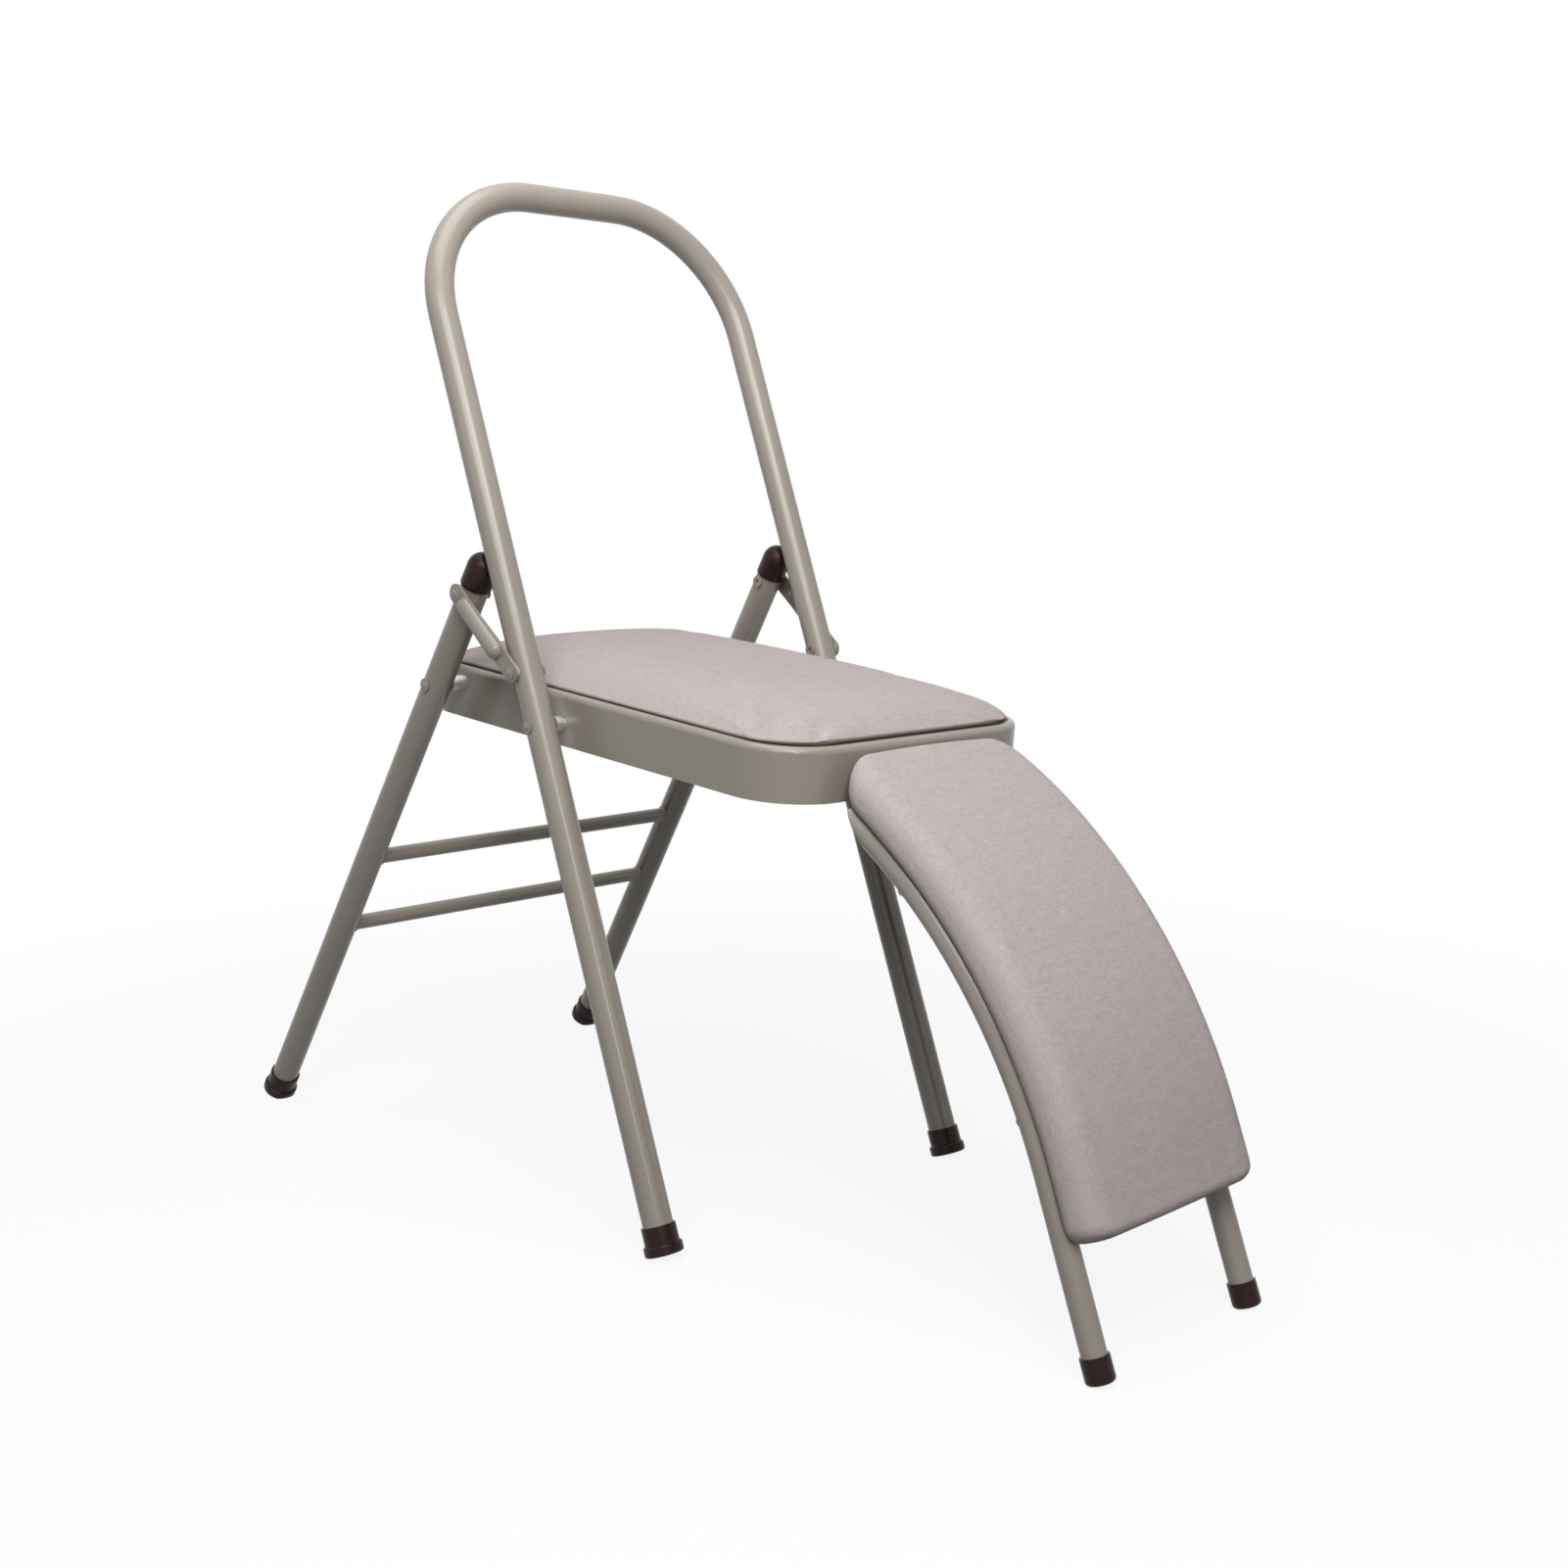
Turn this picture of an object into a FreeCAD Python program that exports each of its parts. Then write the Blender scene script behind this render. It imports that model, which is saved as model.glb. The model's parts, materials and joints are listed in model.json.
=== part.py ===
import FreeCAD, Part
import math
import os
import Sketcher

# Folding steel chair without a back rest panel, with a curved padded support hooked to its seat.
# Millimetres, +Z up, the sitter faces -Y and the sitter's right is -X.
# Places are worked out from the floor point between the front feet, and the finished chair is
# moved at the end so that the origin lies on the floor under the middle of its outline.

SIZES = (
    ("tube_od", 25.0, "frame tube, outside"),
    ("tube_wall", 1.5, "frame tube, wall"),
    ("front_spacer_long", 10.0, "seat wall to a front tube"),
    ("front_lean_deg", 20.636, "front tubes lean back, degrees"),
    ("hoop_top", 922.0, "floor to the hoop's top bar, along the tube"),
    ("hoop_corner", 120.0, "bend radius of the hoop"),
    ("seat_pivot_up", 441.05, "floor to the seat pivot along a front tube"),
    ("rear_pivot_back", 146.31, "seat pivot to the rear pivot, along the seat"),
    ("rear_pivot_level", 11.254, "seat pivot up to the rear pivot, square to the seat"),
    ("rear_spacer_long", 15.093, "seat wall to a rear leg at its pivot"),
    ("rear_lean_deg", 33.421, "rear legs lean forward, degrees"),
    ("rear_toe_deg", 2.146, "rear legs lean inward, degrees"),
    ("rear_top_past", 24.65, "link pivot to the end of a rear tube"),
    ("link_front_past", 46.4, "seat pivot to the link pivot along a front tube"),
    ("link_rear_past", 97.45, "rear pivot to the link pivot along a rear leg"),
    ("rung_od", 14.0, "rung tube, outside"),
    ("rung_wall", 1.2, "rung tube, wall"),
    ("upper_rung_up", 320.6, "floor to the upper rung along a rear leg"),
    ("lower_rung_up", 235.2, "floor to the lower rung along a rear leg"),
    ("foot_flange_od", 32.0, "chair foot, base ring"),
    ("foot_flange_high", 9.0, "chair foot, height of the base ring"),
    ("foot_sleeve_od", 28.4, "chair foot, sleeve"),
    ("foot_sleeve_high", 14.5, "chair foot, height of the sleeve"),
    ("foot_bottom", 5.0, "chair foot, thickness under the tube end"),
    ("foot_flat", 2.5, "chair foot, depth worn flat by the floor"),
    ("foot_round", 2.0, "chair foot, rounding of the base ring"),
    ("top_cap_od", 27.4, "bullet cap, outside"),
    ("top_cap_high", 31.5, "bullet cap, whole length"),
    ("top_cap_end", 14.5, "bullet cap, solid nose above the tube end"),
    ("rivet_od", 8.0, "pivot rivet, shank"),
    ("rivet_head_od", 11.5, "pivot rivet, flat rim of the head"),
    ("rivet_rim_high", 0.9, "pivot rivet, height of the flat rim"),
    ("rivet_boss_od", 7.0, "pivot rivet, dome on the head"),
    ("rivet_head_high", 2.0, "pivot rivet, head height"),
    ("rivet_tail_od", 11.0, "pivot rivet, closed end"),
    ("rivet_tail_high", 1.6, "pivot rivet, height of the closed end"),
    ("rivet_hollow_od", 4.6, "pivot rivet, hollow in the closed end"),
    ("rivet_hollow_deep", 2.4, "pivot rivet, depth of the hollow"),
    ("spacer_od", 13.0, "pivot spacer, outside"),
    ("running_gap", 0.05, "radial clearance of a rivet in its hole"),
    ("side_gap", 0.15, "side clearance in a pivot stack"),
    ("still_gap", 0.05, "side clearance of a piece that does not turn in its stack"),
    ("open_gap", 0.8, "clearance at the link's rear rivet end"),
    ("link_wide", 16.5, "fold link, width of the bar"),
    ("link_thick", 2.5, "fold link, thickness of the bar"),
    ("link_rib_od", 16.0, "fold link, half-round rib"),
    ("link_rib_wall", 1.5, "fold link, wall of the rib"),
    ("link_rib_front", 27.0, "front rivet to the rib"),
    ("link_rib_rear", 17.0, "rear rivet to the rib"),
    ("link_rear_gap", 2.95, "rear leg to the stepped end of the fold link"),
    ("link_step_run", 36.0, "fold link, length of the sideways step"),
    ("link_end_flat", 0.03, "fold link, flat left between the roundings of an end"),
    ("link_washer", 2.2, "washer between link and front tube"),
    ("seat_half", 146.0, "centre plane to the seat's side wall"),
    ("seat_front", 271.0, "seat pivot to the front wall"),
    ("seat_rear", 204.0, "seat pivot to the rear wall"),
    ("seat_slope_deg", 5.0, "seat rises to the rear, degrees"),
    ("rim_above", 25.1, "seat pivot to the top of the rim"),
    ("pan_front_deep", 42.6, "seat wall height at the front"),
    ("pan_rear_deep", 45.3, "seat wall height at the rear"),
    ("pan_front_corner", 56.0, "plan radius of the front corners"),
    ("pan_rear_corner", 34.0, "plan radius of the rear corners"),
    ("pan_wall", 1.5, "seat sheet thickness"),
    ("rim_wide", 6.5, "seat rim, wall to recess"),
    ("rim_round", 5.0, "seat rim, rounding of the pressed edge"),
    ("recess_deep", 5.5, "rim to the seat plate"),
    ("seat_board_thick", 5.0, "plywood under the cushion"),
    ("soft_gap", 0.3, "clearance round soft pieces and boards"),
    ("cushion_edge", 1.5, "cushion seam above the rim"),
    ("cushion_shoulder", 15.0, "cushion shoulder above the rim"),
    ("cushion_shoulder_in", 28.0, "cushion seam to its shoulder, in plan"),
    ("cushion_high", 26.0, "cushion crown above the rim"),
    ("cushion_crown_in", 88.0, "cushion seam to its crown, in plan"),
    ("screw_od", 4.5, "wood screw, shank"),
    ("screw_head_od", 9.0, "wood screw, head"),
    ("screw_head_high", 3.0, "wood screw, head height"),
    ("screw_bite", 3.8, "wood screw, length in the board"),
    ("seat_screw_in", 60.0, "seat wall to a board screw"),
    ("rail_od", 8.0, "hook rail"),
    ("rail_past", 6.0, "hook to the end of the hook rail"),
    ("rail_ahead", 13.832, "front wall to the hook rail"),
    ("rail_below", 25.216, "seat pivot level down to the hook rail"),
    ("lug_in", 14.0, "hook to a rail lug"),
    ("lug_thick", 5.0, "rail lug, plate"),
    ("lug_eye_od", 16.0, "rail lug, eye"),
    ("lug_root", 17.0, "rail lug, height of its welded root"),
    ("lug_up", 1.0, "lower edge of the front wall up to a lug"),
    ("lug_step", 7.5, "rail lug, level stretch behind the eye"),
    ("hook_od", 16.0, "arc hook, eye"),
    ("hook_thick", 6.0, "arc hook, plate"),
    ("hook_reach", 26.0, "end of the measured turn straight on to the hook rail"),
    ("hook_neck", 11.0, "arc hook, width of its neck"),
    ("hook_in", 34.9, "arc tube's axis to a hook"),
    ("arc_tube_in", 12.6, "pad's side to an arc tube's axis"),
    ("arc_tube_od", 19.0, "arc tube, outside"),
    ("arc_tube_wall", 1.2, "arc tube, wall"),
    ("arc_lean_deg", 20.669, "straight lower ends of the arc lean back, degrees"),
    ("arc_turn_deg", 35.83, "measured turn of the bend, degrees"),
    ("arc_bend", 442.2, "bend radius of an arc tube"),
    ("arc_tube_past", 27.0, "arc tube beyond the measured turn, along the bend"),
    ("arc_slant_from", 7.0, "start of the arc tube's slanted end before the end of the measured turn"),
    ("arc_slant_tip", 3.0, "arc tube left at the tip of its slanted end"),
    ("arc_cross_od", 12.0, "arc cross tube, outside"),
    ("arc_cross_wall", 1.2, "arc cross tube, wall"),
    ("arc_upper_cross", 12.0, "end of the measured turn down to the upper cross tube, along the bend"),
    ("arc_lower_cross", 22.0, "start of the bend down to the lower cross tube"),
    ("arc_board_thick", 6.0, "curved board"),
    ("arc_board_in", 7.0, "pad edge to board edge"),
    ("pad_half", 101.5, "half width of the arc pad"),
    ("pad_thick", 28.0, "arc pad with its board"),
    ("pad_below", 50.0, "start of the bend down to the pad's lower edge"),
    ("pad_past", 39.0, "end of the measured turn up to the pad's upper edge, along the bend"),
    ("pad_slant", 18.0, "upper edge of the pad's front beyond the upper edge of its back"),
    ("pad_corner", 20.0, "arc pad, corner radius"),
    ("pad_round", 9.0, "arc pad, rounding of its front edge"),
    ("arc_screw_low", 40.0, "start of the bend up to the lower board screws, along the bend"),
    ("arc_screw_high", 230.0, "start of the bend up to the upper board screws, along the bend"),
    ("arc_cap_od", 22.0, "arc foot cap, outside"),
    ("arc_cap_high", 19.0, "arc foot cap, whole length"),
    ("arc_cap_bottom", 5.0, "arc foot cap, thickness under the tube end"),
    ("arc_cap_flat", 2.2, "arc foot cap, depth worn flat by the floor"),
    ("arc_cap_round", 3.5, "arc foot cap, rounding of its bottom"),
)

V = FreeCAD.Vector
X_AXIS = V(1, 0, 0)
Z_AXIS = V(0, 0, 1)
SIDES = (("right", -1), ("left", 1))
BIG = 400.0
TOUCH = 0.01

doc = FreeCAD.newDocument("yoga_chair")
sheet = doc.addObject("Spreadsheet::Sheet", "dims")
for row, (alias, value, note) in enumerate(SIZES, 1):
    sheet.set(f"A{row}", note)
    sheet.set(f"B{row}", str(value))
    sheet.setAlias(f"B{row}", alias)
doc.recompute()

nodes = []


def size(alias):
    """Value of a driving dimension."""
    return float(sheet.get(alias))


def turn(alias):
    """Value of a driving angle, in radians."""
    return math.radians(size(alias))


def node(label, obj):
    """Names a finished sub-part."""
    obj.Label = label
    nodes.append((label, obj))
    return obj


# Places on the chair

def front_half():
    """Centre plane to a front tube's axis."""
    return size("seat_half") + size("front_spacer_long") + size("tube_od") / 2


def on_front(side, up):
    """Point on a front tube's axis, up from the floor along the tube."""
    lean = turn("front_lean_deg")
    return V(side * front_half(), up * math.sin(lean), up * math.cos(lean))


def front_axis():
    return on_front(0, 1)


def seat_pivot():
    """Seat pivot on the centre plane, the origin of the seat's own frame."""
    point = on_front(1, size("seat_pivot_up"))
    return V(0, point.y, point.z)


def seat_frame():
    """Seat frame: local Y runs rearward along the seat, local Z stands on it."""
    return FreeCAD.Placement(seat_pivot(), FreeCAD.Rotation(X_AXIS, size("seat_slope_deg")))


def on_seat(x, back, up):
    return seat_frame().multVec(V(x, back, up))


def rear_axis(side):
    """Direction of a rear leg, from its foot upward."""
    lean = turn("rear_lean_deg")
    toe = turn("rear_toe_deg")
    return V(-side * math.sin(toe), -math.sin(lean) * math.cos(toe), math.cos(lean) * math.cos(toe))


def rear_pivot(side):
    """Where a rear leg's axis passes the pivot on the seat's wall."""
    x = side * (size("seat_half") + size("rear_spacer_long") + size("tube_od") / 2)
    return on_seat(x, size("rear_pivot_back"), size("rear_pivot_level"))


def rear_pivot_up():
    """Floor to the rear pivot along a rear leg."""
    return rear_pivot(1).z / rear_axis(1).z


def on_rear(side, up):
    """Point on a rear leg's axis, up from the floor along the leg."""
    return rear_pivot(side) + rear_axis(side) * (up - rear_pivot_up())


def link_front_up():
    """Floor to the link pivot along a front tube."""
    return size("seat_pivot_up") + size("link_front_past")


def link_rear_up():
    """Floor to the link pivot along a rear leg."""
    return rear_pivot_up() + size("link_rear_past")


def rear_top_up():
    """Floor to the end of a rear tube, along the tube."""
    return link_rear_up() + size("rear_top_past")


def rear_crest():
    """Rear leg's axis to its side, straight across the chair."""
    return size("tube_od") / 2 / math.cos(turn("rear_toe_deg"))


def arc_half():
    """Centre plane to an arc tube's axis."""
    return size("pad_half") - size("arc_tube_in")


def hook_half():
    """Centre plane to a hook."""
    return arc_half() - size("hook_in")


def rail_centre():
    return on_seat(0, -size("seat_front") - size("rail_ahead"), -size("rail_below"))


def arc_end():
    """End of the measured turn of the arc tubes' axis, on the centre plane."""
    lean = turn("arc_lean_deg") + turn("arc_turn_deg")
    return rail_centre() - V(0, math.sin(lean), math.cos(lean)) * size("hook_reach")


def arc_leg():
    """Length of the arc tubes from the floor to the start of the bend."""
    lean = turn("arc_lean_deg")
    rise = size("arc_bend") * (math.sin(lean + turn("arc_turn_deg")) - math.sin(lean))
    return (arc_end().z - rise) / math.cos(lean)


def arc_foot():
    """Where the arc tubes' axes meet the floor, on the centre plane."""
    lean = turn("arc_lean_deg")
    run = size("arc_bend") * (math.cos(lean) - math.cos(lean + turn("arc_turn_deg")))
    return V(0, arc_end().y - run - arc_leg() * math.sin(lean), 0)


def arc_frame(x):
    """Arc frame: local Z runs up the straight lower end, the bend turns towards local +Y."""
    return FreeCAD.Placement(arc_foot() + V(x, 0, 0), FreeCAD.Rotation(X_AXIS, -size("arc_lean_deg")))


def on_bend(along, proud=0.0):
    """Local point of the arc frame, along the bend from its start and proud of the axis."""
    angle = along / size("arc_bend")
    reach = size("arc_bend") + proud
    return V(0, size("arc_bend") - reach * math.cos(angle), arc_leg() + reach * math.sin(angle))


# Modelling helpers

def bar(name, radius, start, end):
    """Round bar between two points."""
    obj = doc.addObject("Part::Cylinder", name)
    obj.setExpression("Radius", radius)
    obj.Height = (end - start).Length
    obj.Placement = FreeCAD.Placement(start, FreeCAD.Rotation(Z_AXIS, end - start))
    return obj


def fuse(name, *shapes):
    obj = doc.addObject("Part::MultiFuse", name)
    obj.Shapes = list(shapes)
    return obj


def cut(name, base, *tools):
    obj = doc.addObject("Part::Cut", name)
    obj.Base = base
    obj.Tool = tools[0] if len(tools) == 1 else fuse(name + "_tools", *tools)
    return obj


def group(name, *solids):
    """Like pieces that share one node."""
    obj = doc.addObject("Part::Compound", name)
    obj.Links = list(solids)
    return obj


def cross_hole(name, radius, point):
    """Cutter for a hole across the chair through a point at one side."""
    half = V(2 * size("tube_od"), 0, 0)
    return bar(name, radius, point - half, point + half)


def capsule(name, radius, start, end):
    """Round-ended bar between the centres of its ends."""
    pieces = [bar(name + "_rod", radius, start, end)]
    for number, place in enumerate((start, end), 1):
        ball = doc.addObject("Part::Sphere", f"{name}_end_{number}")
        ball.setExpression("Radius", radius)
        ball.Placement.Base = place
        pieces.append(ball)
    return fuse(name, *pieces)


def new_body(name, placement):
    body = doc.addObject("PartDesign::Body", name)
    body.Placement = placement
    return body


def new_sketch(body, role, name, offset=0.0):
    """Sketch on one of the body's own origin planes, lifted along the plane's normal."""
    sketch = body.newObject("Sketcher::SketchObject", name)
    plane = next(item for item in body.Origin.OriginFeatures if item.Role == role)
    sketch.AttachmentSupport = [(plane, "")]
    sketch.MapMode = "FlatFace"
    sketch.AttachmentOffset = FreeCAD.Placement(V(0, 0, offset), FreeCAD.Rotation())
    return sketch


def outline(sketch, points):
    """Closed profile. A point is (x, y), or (x, y, mx, my) for an arc that ends there through (mx, my)."""
    last = V(points[-1][0], points[-1][1], 0)
    for point in points:
        end = V(point[0], point[1], 0)
        if len(point) == 4:
            middle = V(point[2], point[3], 0)
            sketch.addGeometry(Part.Arc(last, middle, end))
        else:
            sketch.addGeometry(Part.LineSegment(last, end))
        last = end


def ring(sketch, radius, x=0.0, y=0.0):
    """Circle whose radius follows a sheet expression."""
    sketch.addGeometry(Part.Circle(V(x, y, 0), Z_AXIS, 1.0))
    if x == 0.0 and y == 0.0:
        sketch.addConstraint(Sketcher.Constraint("Coincident", 0, 3, -1, 1))
    number = sketch.addConstraint(Sketcher.Constraint("Radius", 0, 1.0))
    sketch.setExpression(f"Constraints[{number}]", radius)


def pad(body, sketch, length, reverse=False):
    feature = body.newObject("PartDesign::Pad", sketch.Name + "_pad")
    feature.Profile = sketch
    feature.setExpression("Length", length)
    feature.Reversed = reverse
    return feature


def pocket(body, sketch, length, reverse=False):
    """Cut from a sketch, with a test that it removed something."""
    doc.recompute()
    before = body.Shape.Volume
    feature = body.newObject("PartDesign::Pocket", sketch.Name + "_pocket")
    feature.Profile = sketch
    feature.setExpression("Length", length)
    feature.Reversed = reverse
    doc.recompute()
    if body.Shape.Volume >= before - 1.0:
        raise RuntimeError(f"{feature.Name} cut nothing")
    return feature


def fillet(body, name, radius, wanted):
    """Rounds the edges of the body's tip for which wanted(edge) is true."""
    doc.recompute()
    base = body.Tip
    picked = [f"Edge{i}" for i, edge in enumerate(base.Shape.Edges, 1) if wanted(edge)]
    if not picked:
        raise RuntimeError(f"{name} found no edge")
    feature = body.newObject("PartDesign::Fillet", name)
    feature.Base = (base, picked)
    feature.setExpression("Radius", radius)
    return feature


def turned(name, points, base, axis):
    """Turned piece: a half profile of radius and height, revolved about its height axis."""
    body = new_body(name, FreeCAD.Placement(base, FreeCAD.Rotation(Z_AXIS, axis)))
    sketch = new_sketch(body, "XZ_Plane", name + "_profile")
    outline(sketch, points)
    feature = body.newObject("PartDesign::Revolution", name + "_turn")
    feature.Profile = sketch
    feature.ReferenceAxis = (sketch, ["V_Axis"])
    feature.Angle = 360.0
    return body


def corner(x, y, radius, sx, sy):
    """Arc end for a rounded outer corner: the point on the way round at 45 degrees."""
    slack = radius * (1.0 - math.sqrt(0.5))
    return x - sx * slack, y - sy * slack


def plan(sketch, half, front, rear, front_corner, rear_corner):
    """Seat-shaped outline: straight sides with rounded corners, front at -Y."""
    f, r = front_corner, rear_corner
    outline(sketch, (
        (half, -front + f, *corner(half, -front, f, 1, -1)),
        (half, rear - r),
        (half - r, rear, *corner(half, rear, r, 1, 1)),
        (-half + r, rear),
        (-half, rear - r, *corner(-half, rear, r, -1, 1)),
        (-half, -front + f),
        (-half + f, -front, *corner(-half, -front, f, -1, -1)),
        (half - f, -front),
    ))


def seat_plan(sketch, grow):
    """Outline of the seat's walls, grown or shrunk all round."""
    plan(sketch, size("seat_half") + grow, size("seat_front") + grow, size("seat_rear") + grow,
         size("pan_front_corner") + grow, size("pan_rear_corner") + grow)


def foot_seat(lean, flat):
    """Height of a chair foot's bottom along its tube, so that its edge is worn flat on the floor."""
    return size("foot_flange_od") / 2 * math.tan(lean) - size(flat) / math.cos(lean)


def floor_cutter(name):
    """Everything below the floor."""
    box = doc.addObject("Part::Box", name)
    box.Length = 2 * BIG
    box.Width = 4 * BIG
    box.Height = BIG
    box.Placement.Base = V(-BIG, -2 * BIG, -BIG)
    return box


def chair_foot(label, lean, base_point, axis):
    """Rubber foot: a sleeve on the tube end and a wider ring, worn flat where it stands."""
    flange = size("foot_flange_od") / 2
    sleeve = size("foot_sleeve_od") / 2
    bore = size("tube_od") / 2 + size("running_gap")
    ring_top = size("foot_flange_high")
    top = ring_top + size("foot_sleeve_high")
    soft = size("foot_round")
    slack = soft * (1 - math.sqrt(0.5))
    low = foot_seat(lean, "foot_flat")
    body = turned(label + "_moulding", (
        (flange - soft, 0),
        (flange, soft, flange - slack, slack),
        (flange, ring_top - soft),
        (flange - soft, ring_top, flange - slack, ring_top - slack),
        (sleeve, ring_top),
        (sleeve, top),
        (bore, top),
        (bore, size("foot_bottom")),
        (0, size("foot_bottom")),
        (0, 0),
    ), base_point + axis * low, axis)
    return node(label, cut(label + "_worn", body, floor_cutter(label + "_floor")))


def dome(radius, foot, top):
    """Arc end for a dome: its top on the axis, and the point halfway up."""
    rise = top - foot
    ball = (radius * radius + rise * rise) / (2 * rise)
    half_angle = math.asin(radius / ball) / 2
    return 0, top, ball * math.sin(half_angle), top - ball + ball * math.cos(half_angle)


def rivet(name, grip, base, axis, closed=True):
    """Pivot rivet: base is under the head, and the shank runs against axis to its hollow closed end."""
    shank = size("rivet_od") / 2
    rim = size("rivet_rim_high")
    boss = size("rivet_boss_od") / 2
    points = [(size("rivet_head_od") / 2, 0), (size("rivet_head_od") / 2, rim), (boss, rim)]
    points.append(dome(boss, rim, size("rivet_head_high")))
    if closed:
        tail = size("rivet_tail_od") / 2
        hollow = size("rivet_hollow_od") / 2
        end = -grip - size("rivet_tail_high")
        deep = end + size("rivet_hollow_deep")
        points += [(0, deep), (hollow, deep), (hollow, end), (tail, end), (tail, -grip)]
    else:
        points.append((0, -grip))
    points += [(shank, -grip), (shank, 0)]
    return turned(name, points, base, axis)


def rivet_end(name, grip, base, axis):
    """Closed end of a rivet whose head is on another piece."""
    shank = size("rivet_od") / 2
    tail = size("rivet_tail_od") / 2
    hollow = size("rivet_hollow_od") / 2
    high = size("rivet_tail_high")
    deep = high - size("rivet_hollow_deep")
    return turned(name, ((tail, 0), (tail, high), (hollow, high), (hollow, deep), (0, deep), (0, -grip),
                         (shank, -grip), (shank, 0)), base, axis)


def screw(name, grip, base, axis):
    """Wood screw with a low domed head."""
    shank = size("screw_od") / 2
    head = size("screw_head_od") / 2
    return turned(name, ((head, 0), dome(head, 0, size("screw_head_high")), (0, -grip), (shank, -grip),
                         (shank, 0)), base, axis)


def collar(name, outside, inside, start, end):
    """Plain sleeve or washer between two points."""
    return cut(name, bar(name + "_bar", outside, start, end), bar(name + "_bore", inside, start, end))


RIVET_HOLE = "dims.rivet_od / 2 + dims.running_gap"
TUBE_R = "dims.tube_od / 2"
TUBE_BORE = "dims.tube_od / 2 - dims.tube_wall"


# Front frame

def front_hoop():
    """One tube bent into the front legs and the back hoop."""
    low = foot_seat(turn("front_lean_deg"), "foot_flat") + size("foot_bottom")
    half = front_half()
    bend = size("hoop_corner")
    top = size("hoop_top") - low
    tilt = FreeCAD.Rotation(X_AXIS, 90 - size("front_lean_deg"))
    body = new_body("hoop_bend", FreeCAD.Placement(on_front(0, low), tilt))
    spine = new_sketch(body, "XY_Plane", "hoop_line")
    near = corner(-half, top, bend, -1, 1)
    far = corner(half, top, bend, 1, 1)
    spine.addGeometry(Part.LineSegment(V(-half, 0, 0), V(-half, top - bend, 0)))
    spine.addGeometry(Part.Arc(V(-half, top - bend, 0), V(*near, 0), V(bend - half, top, 0)))
    spine.addGeometry(Part.LineSegment(V(bend - half, top, 0), V(half - bend, top, 0)))
    spine.addGeometry(Part.Arc(V(half - bend, top, 0), V(*far, 0), V(half, top - bend, 0)))
    spine.addGeometry(Part.LineSegment(V(half, top - bend, 0), V(half, 0, 0)))
    for kind, radius in (("Additive", TUBE_R), ("Subtractive", TUBE_BORE)):
        profile = new_sketch(body, "XZ_Plane", "hoop_ring_" + kind)
        ring(profile, radius, x=-half)
        pipe = body.newObject(f"PartDesign::{kind}Pipe", "hoop_" + kind)
        pipe.Profile = profile
        pipe.Spine = (spine, [])
        doc.recompute()
    holes = []
    for name, side in SIDES:
        holes.append(cross_hole("seat_hole_" + name, RIVET_HOLE, on_front(side, size("seat_pivot_up"))))
        holes.append(cross_hole("link_hole_" + name, RIVET_HOLE, on_front(side, link_front_up())))
    return node("front_hoop_tube", cut("hoop_drilled", body, *holes))


def front_pivots():
    """Rivets, spacers and washers carried by the front tubes."""
    out = size("tube_od") / 2
    seat_rivets, link_rivets, spacers, washers = [], [], [], []
    gap = size("side_gap")
    for name, side in SIDES:
        across = V(side, 0, 0)
        seat = on_front(side, size("seat_pivot_up"))
        link = on_front(side, link_front_up())
        wall_out = V(side * size("seat_half"), seat.y, seat.z)
        wall_in = wall_out - across * (size("pan_wall") + gap)
        grip = (seat + across * out - wall_in).Length
        seat_rivets.append(rivet("seat_rivet_" + name, grip, seat + across * out, across))
        spacers.append(collar("front_spacer_" + name, "dims.spacer_od / 2", RIVET_HOLE,
                              wall_out + across * gap, seat - across * (out + size("still_gap"))))
        seat_of_link = link + across * (out + size("link_washer"))
        washers.append(collar("link_washer_" + name, "dims.spacer_od / 2", RIVET_HOLE,
                              link + across * (out + size("still_gap")), seat_of_link - across * gap))
        head = seat_of_link + across * (size("link_thick") + gap)
        link_rivets.append(rivet("link_rivet_" + name, (head - link).Length + out, head, across))
    node("seat_pivot_rivets", group("seat_rivet_pair", *seat_rivets))
    node("front_spacers", group("front_spacer_pair", *spacers))
    node("link_front_washers", group("link_washer_pair", *washers))
    node("link_front_rivets", group("link_rivet_pair", *link_rivets))


# Rear legs

def rear_legs():
    """Two straight tubes joined by two rungs, saddled on the tubes."""
    low = foot_seat(turn("rear_lean_deg"), "foot_flat") + size("foot_bottom")
    top = rear_top_up()
    for name, side in SIDES:
        tube = bar("leg_bar_" + name, TUBE_R, on_rear(side, low), on_rear(side, top))
        bore = bar("leg_bore_" + name, TUBE_BORE, on_rear(side, low), on_rear(side, top))
        seat_hole = cross_hole("leg_seat_hole_" + name, RIVET_HOLE, on_rear(side, rear_pivot_up()))
        link_hole = cross_hole("leg_link_hole_" + name, RIVET_HOLE, on_rear(side, link_rear_up()))
        node("rear_leg_" + name, cut("leg_drilled_" + name, tube, bore, seat_hole, link_hole))
    for name, up in (("upper", "upper_rung_up"), ("lower", "lower_rung_up")):
        ends = [on_rear(side, size(up)) for _, side in SIDES]
        rod = bar(f"{name}_rung_bar", "dims.rung_od / 2", *ends)
        bore = bar(f"{name}_rung_bore", "dims.rung_od / 2 - dims.rung_wall", *ends)
        saddles = []
        for side_name, side in SIDES:
            saddles.append(bar(f"{name}_saddle_{side_name}", TUBE_R, on_rear(side, low), on_rear(side, top)))
        node(f"{name}_rung", cut(f"{name}_rung_saddled", rod, bore, *saddles))


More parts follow.
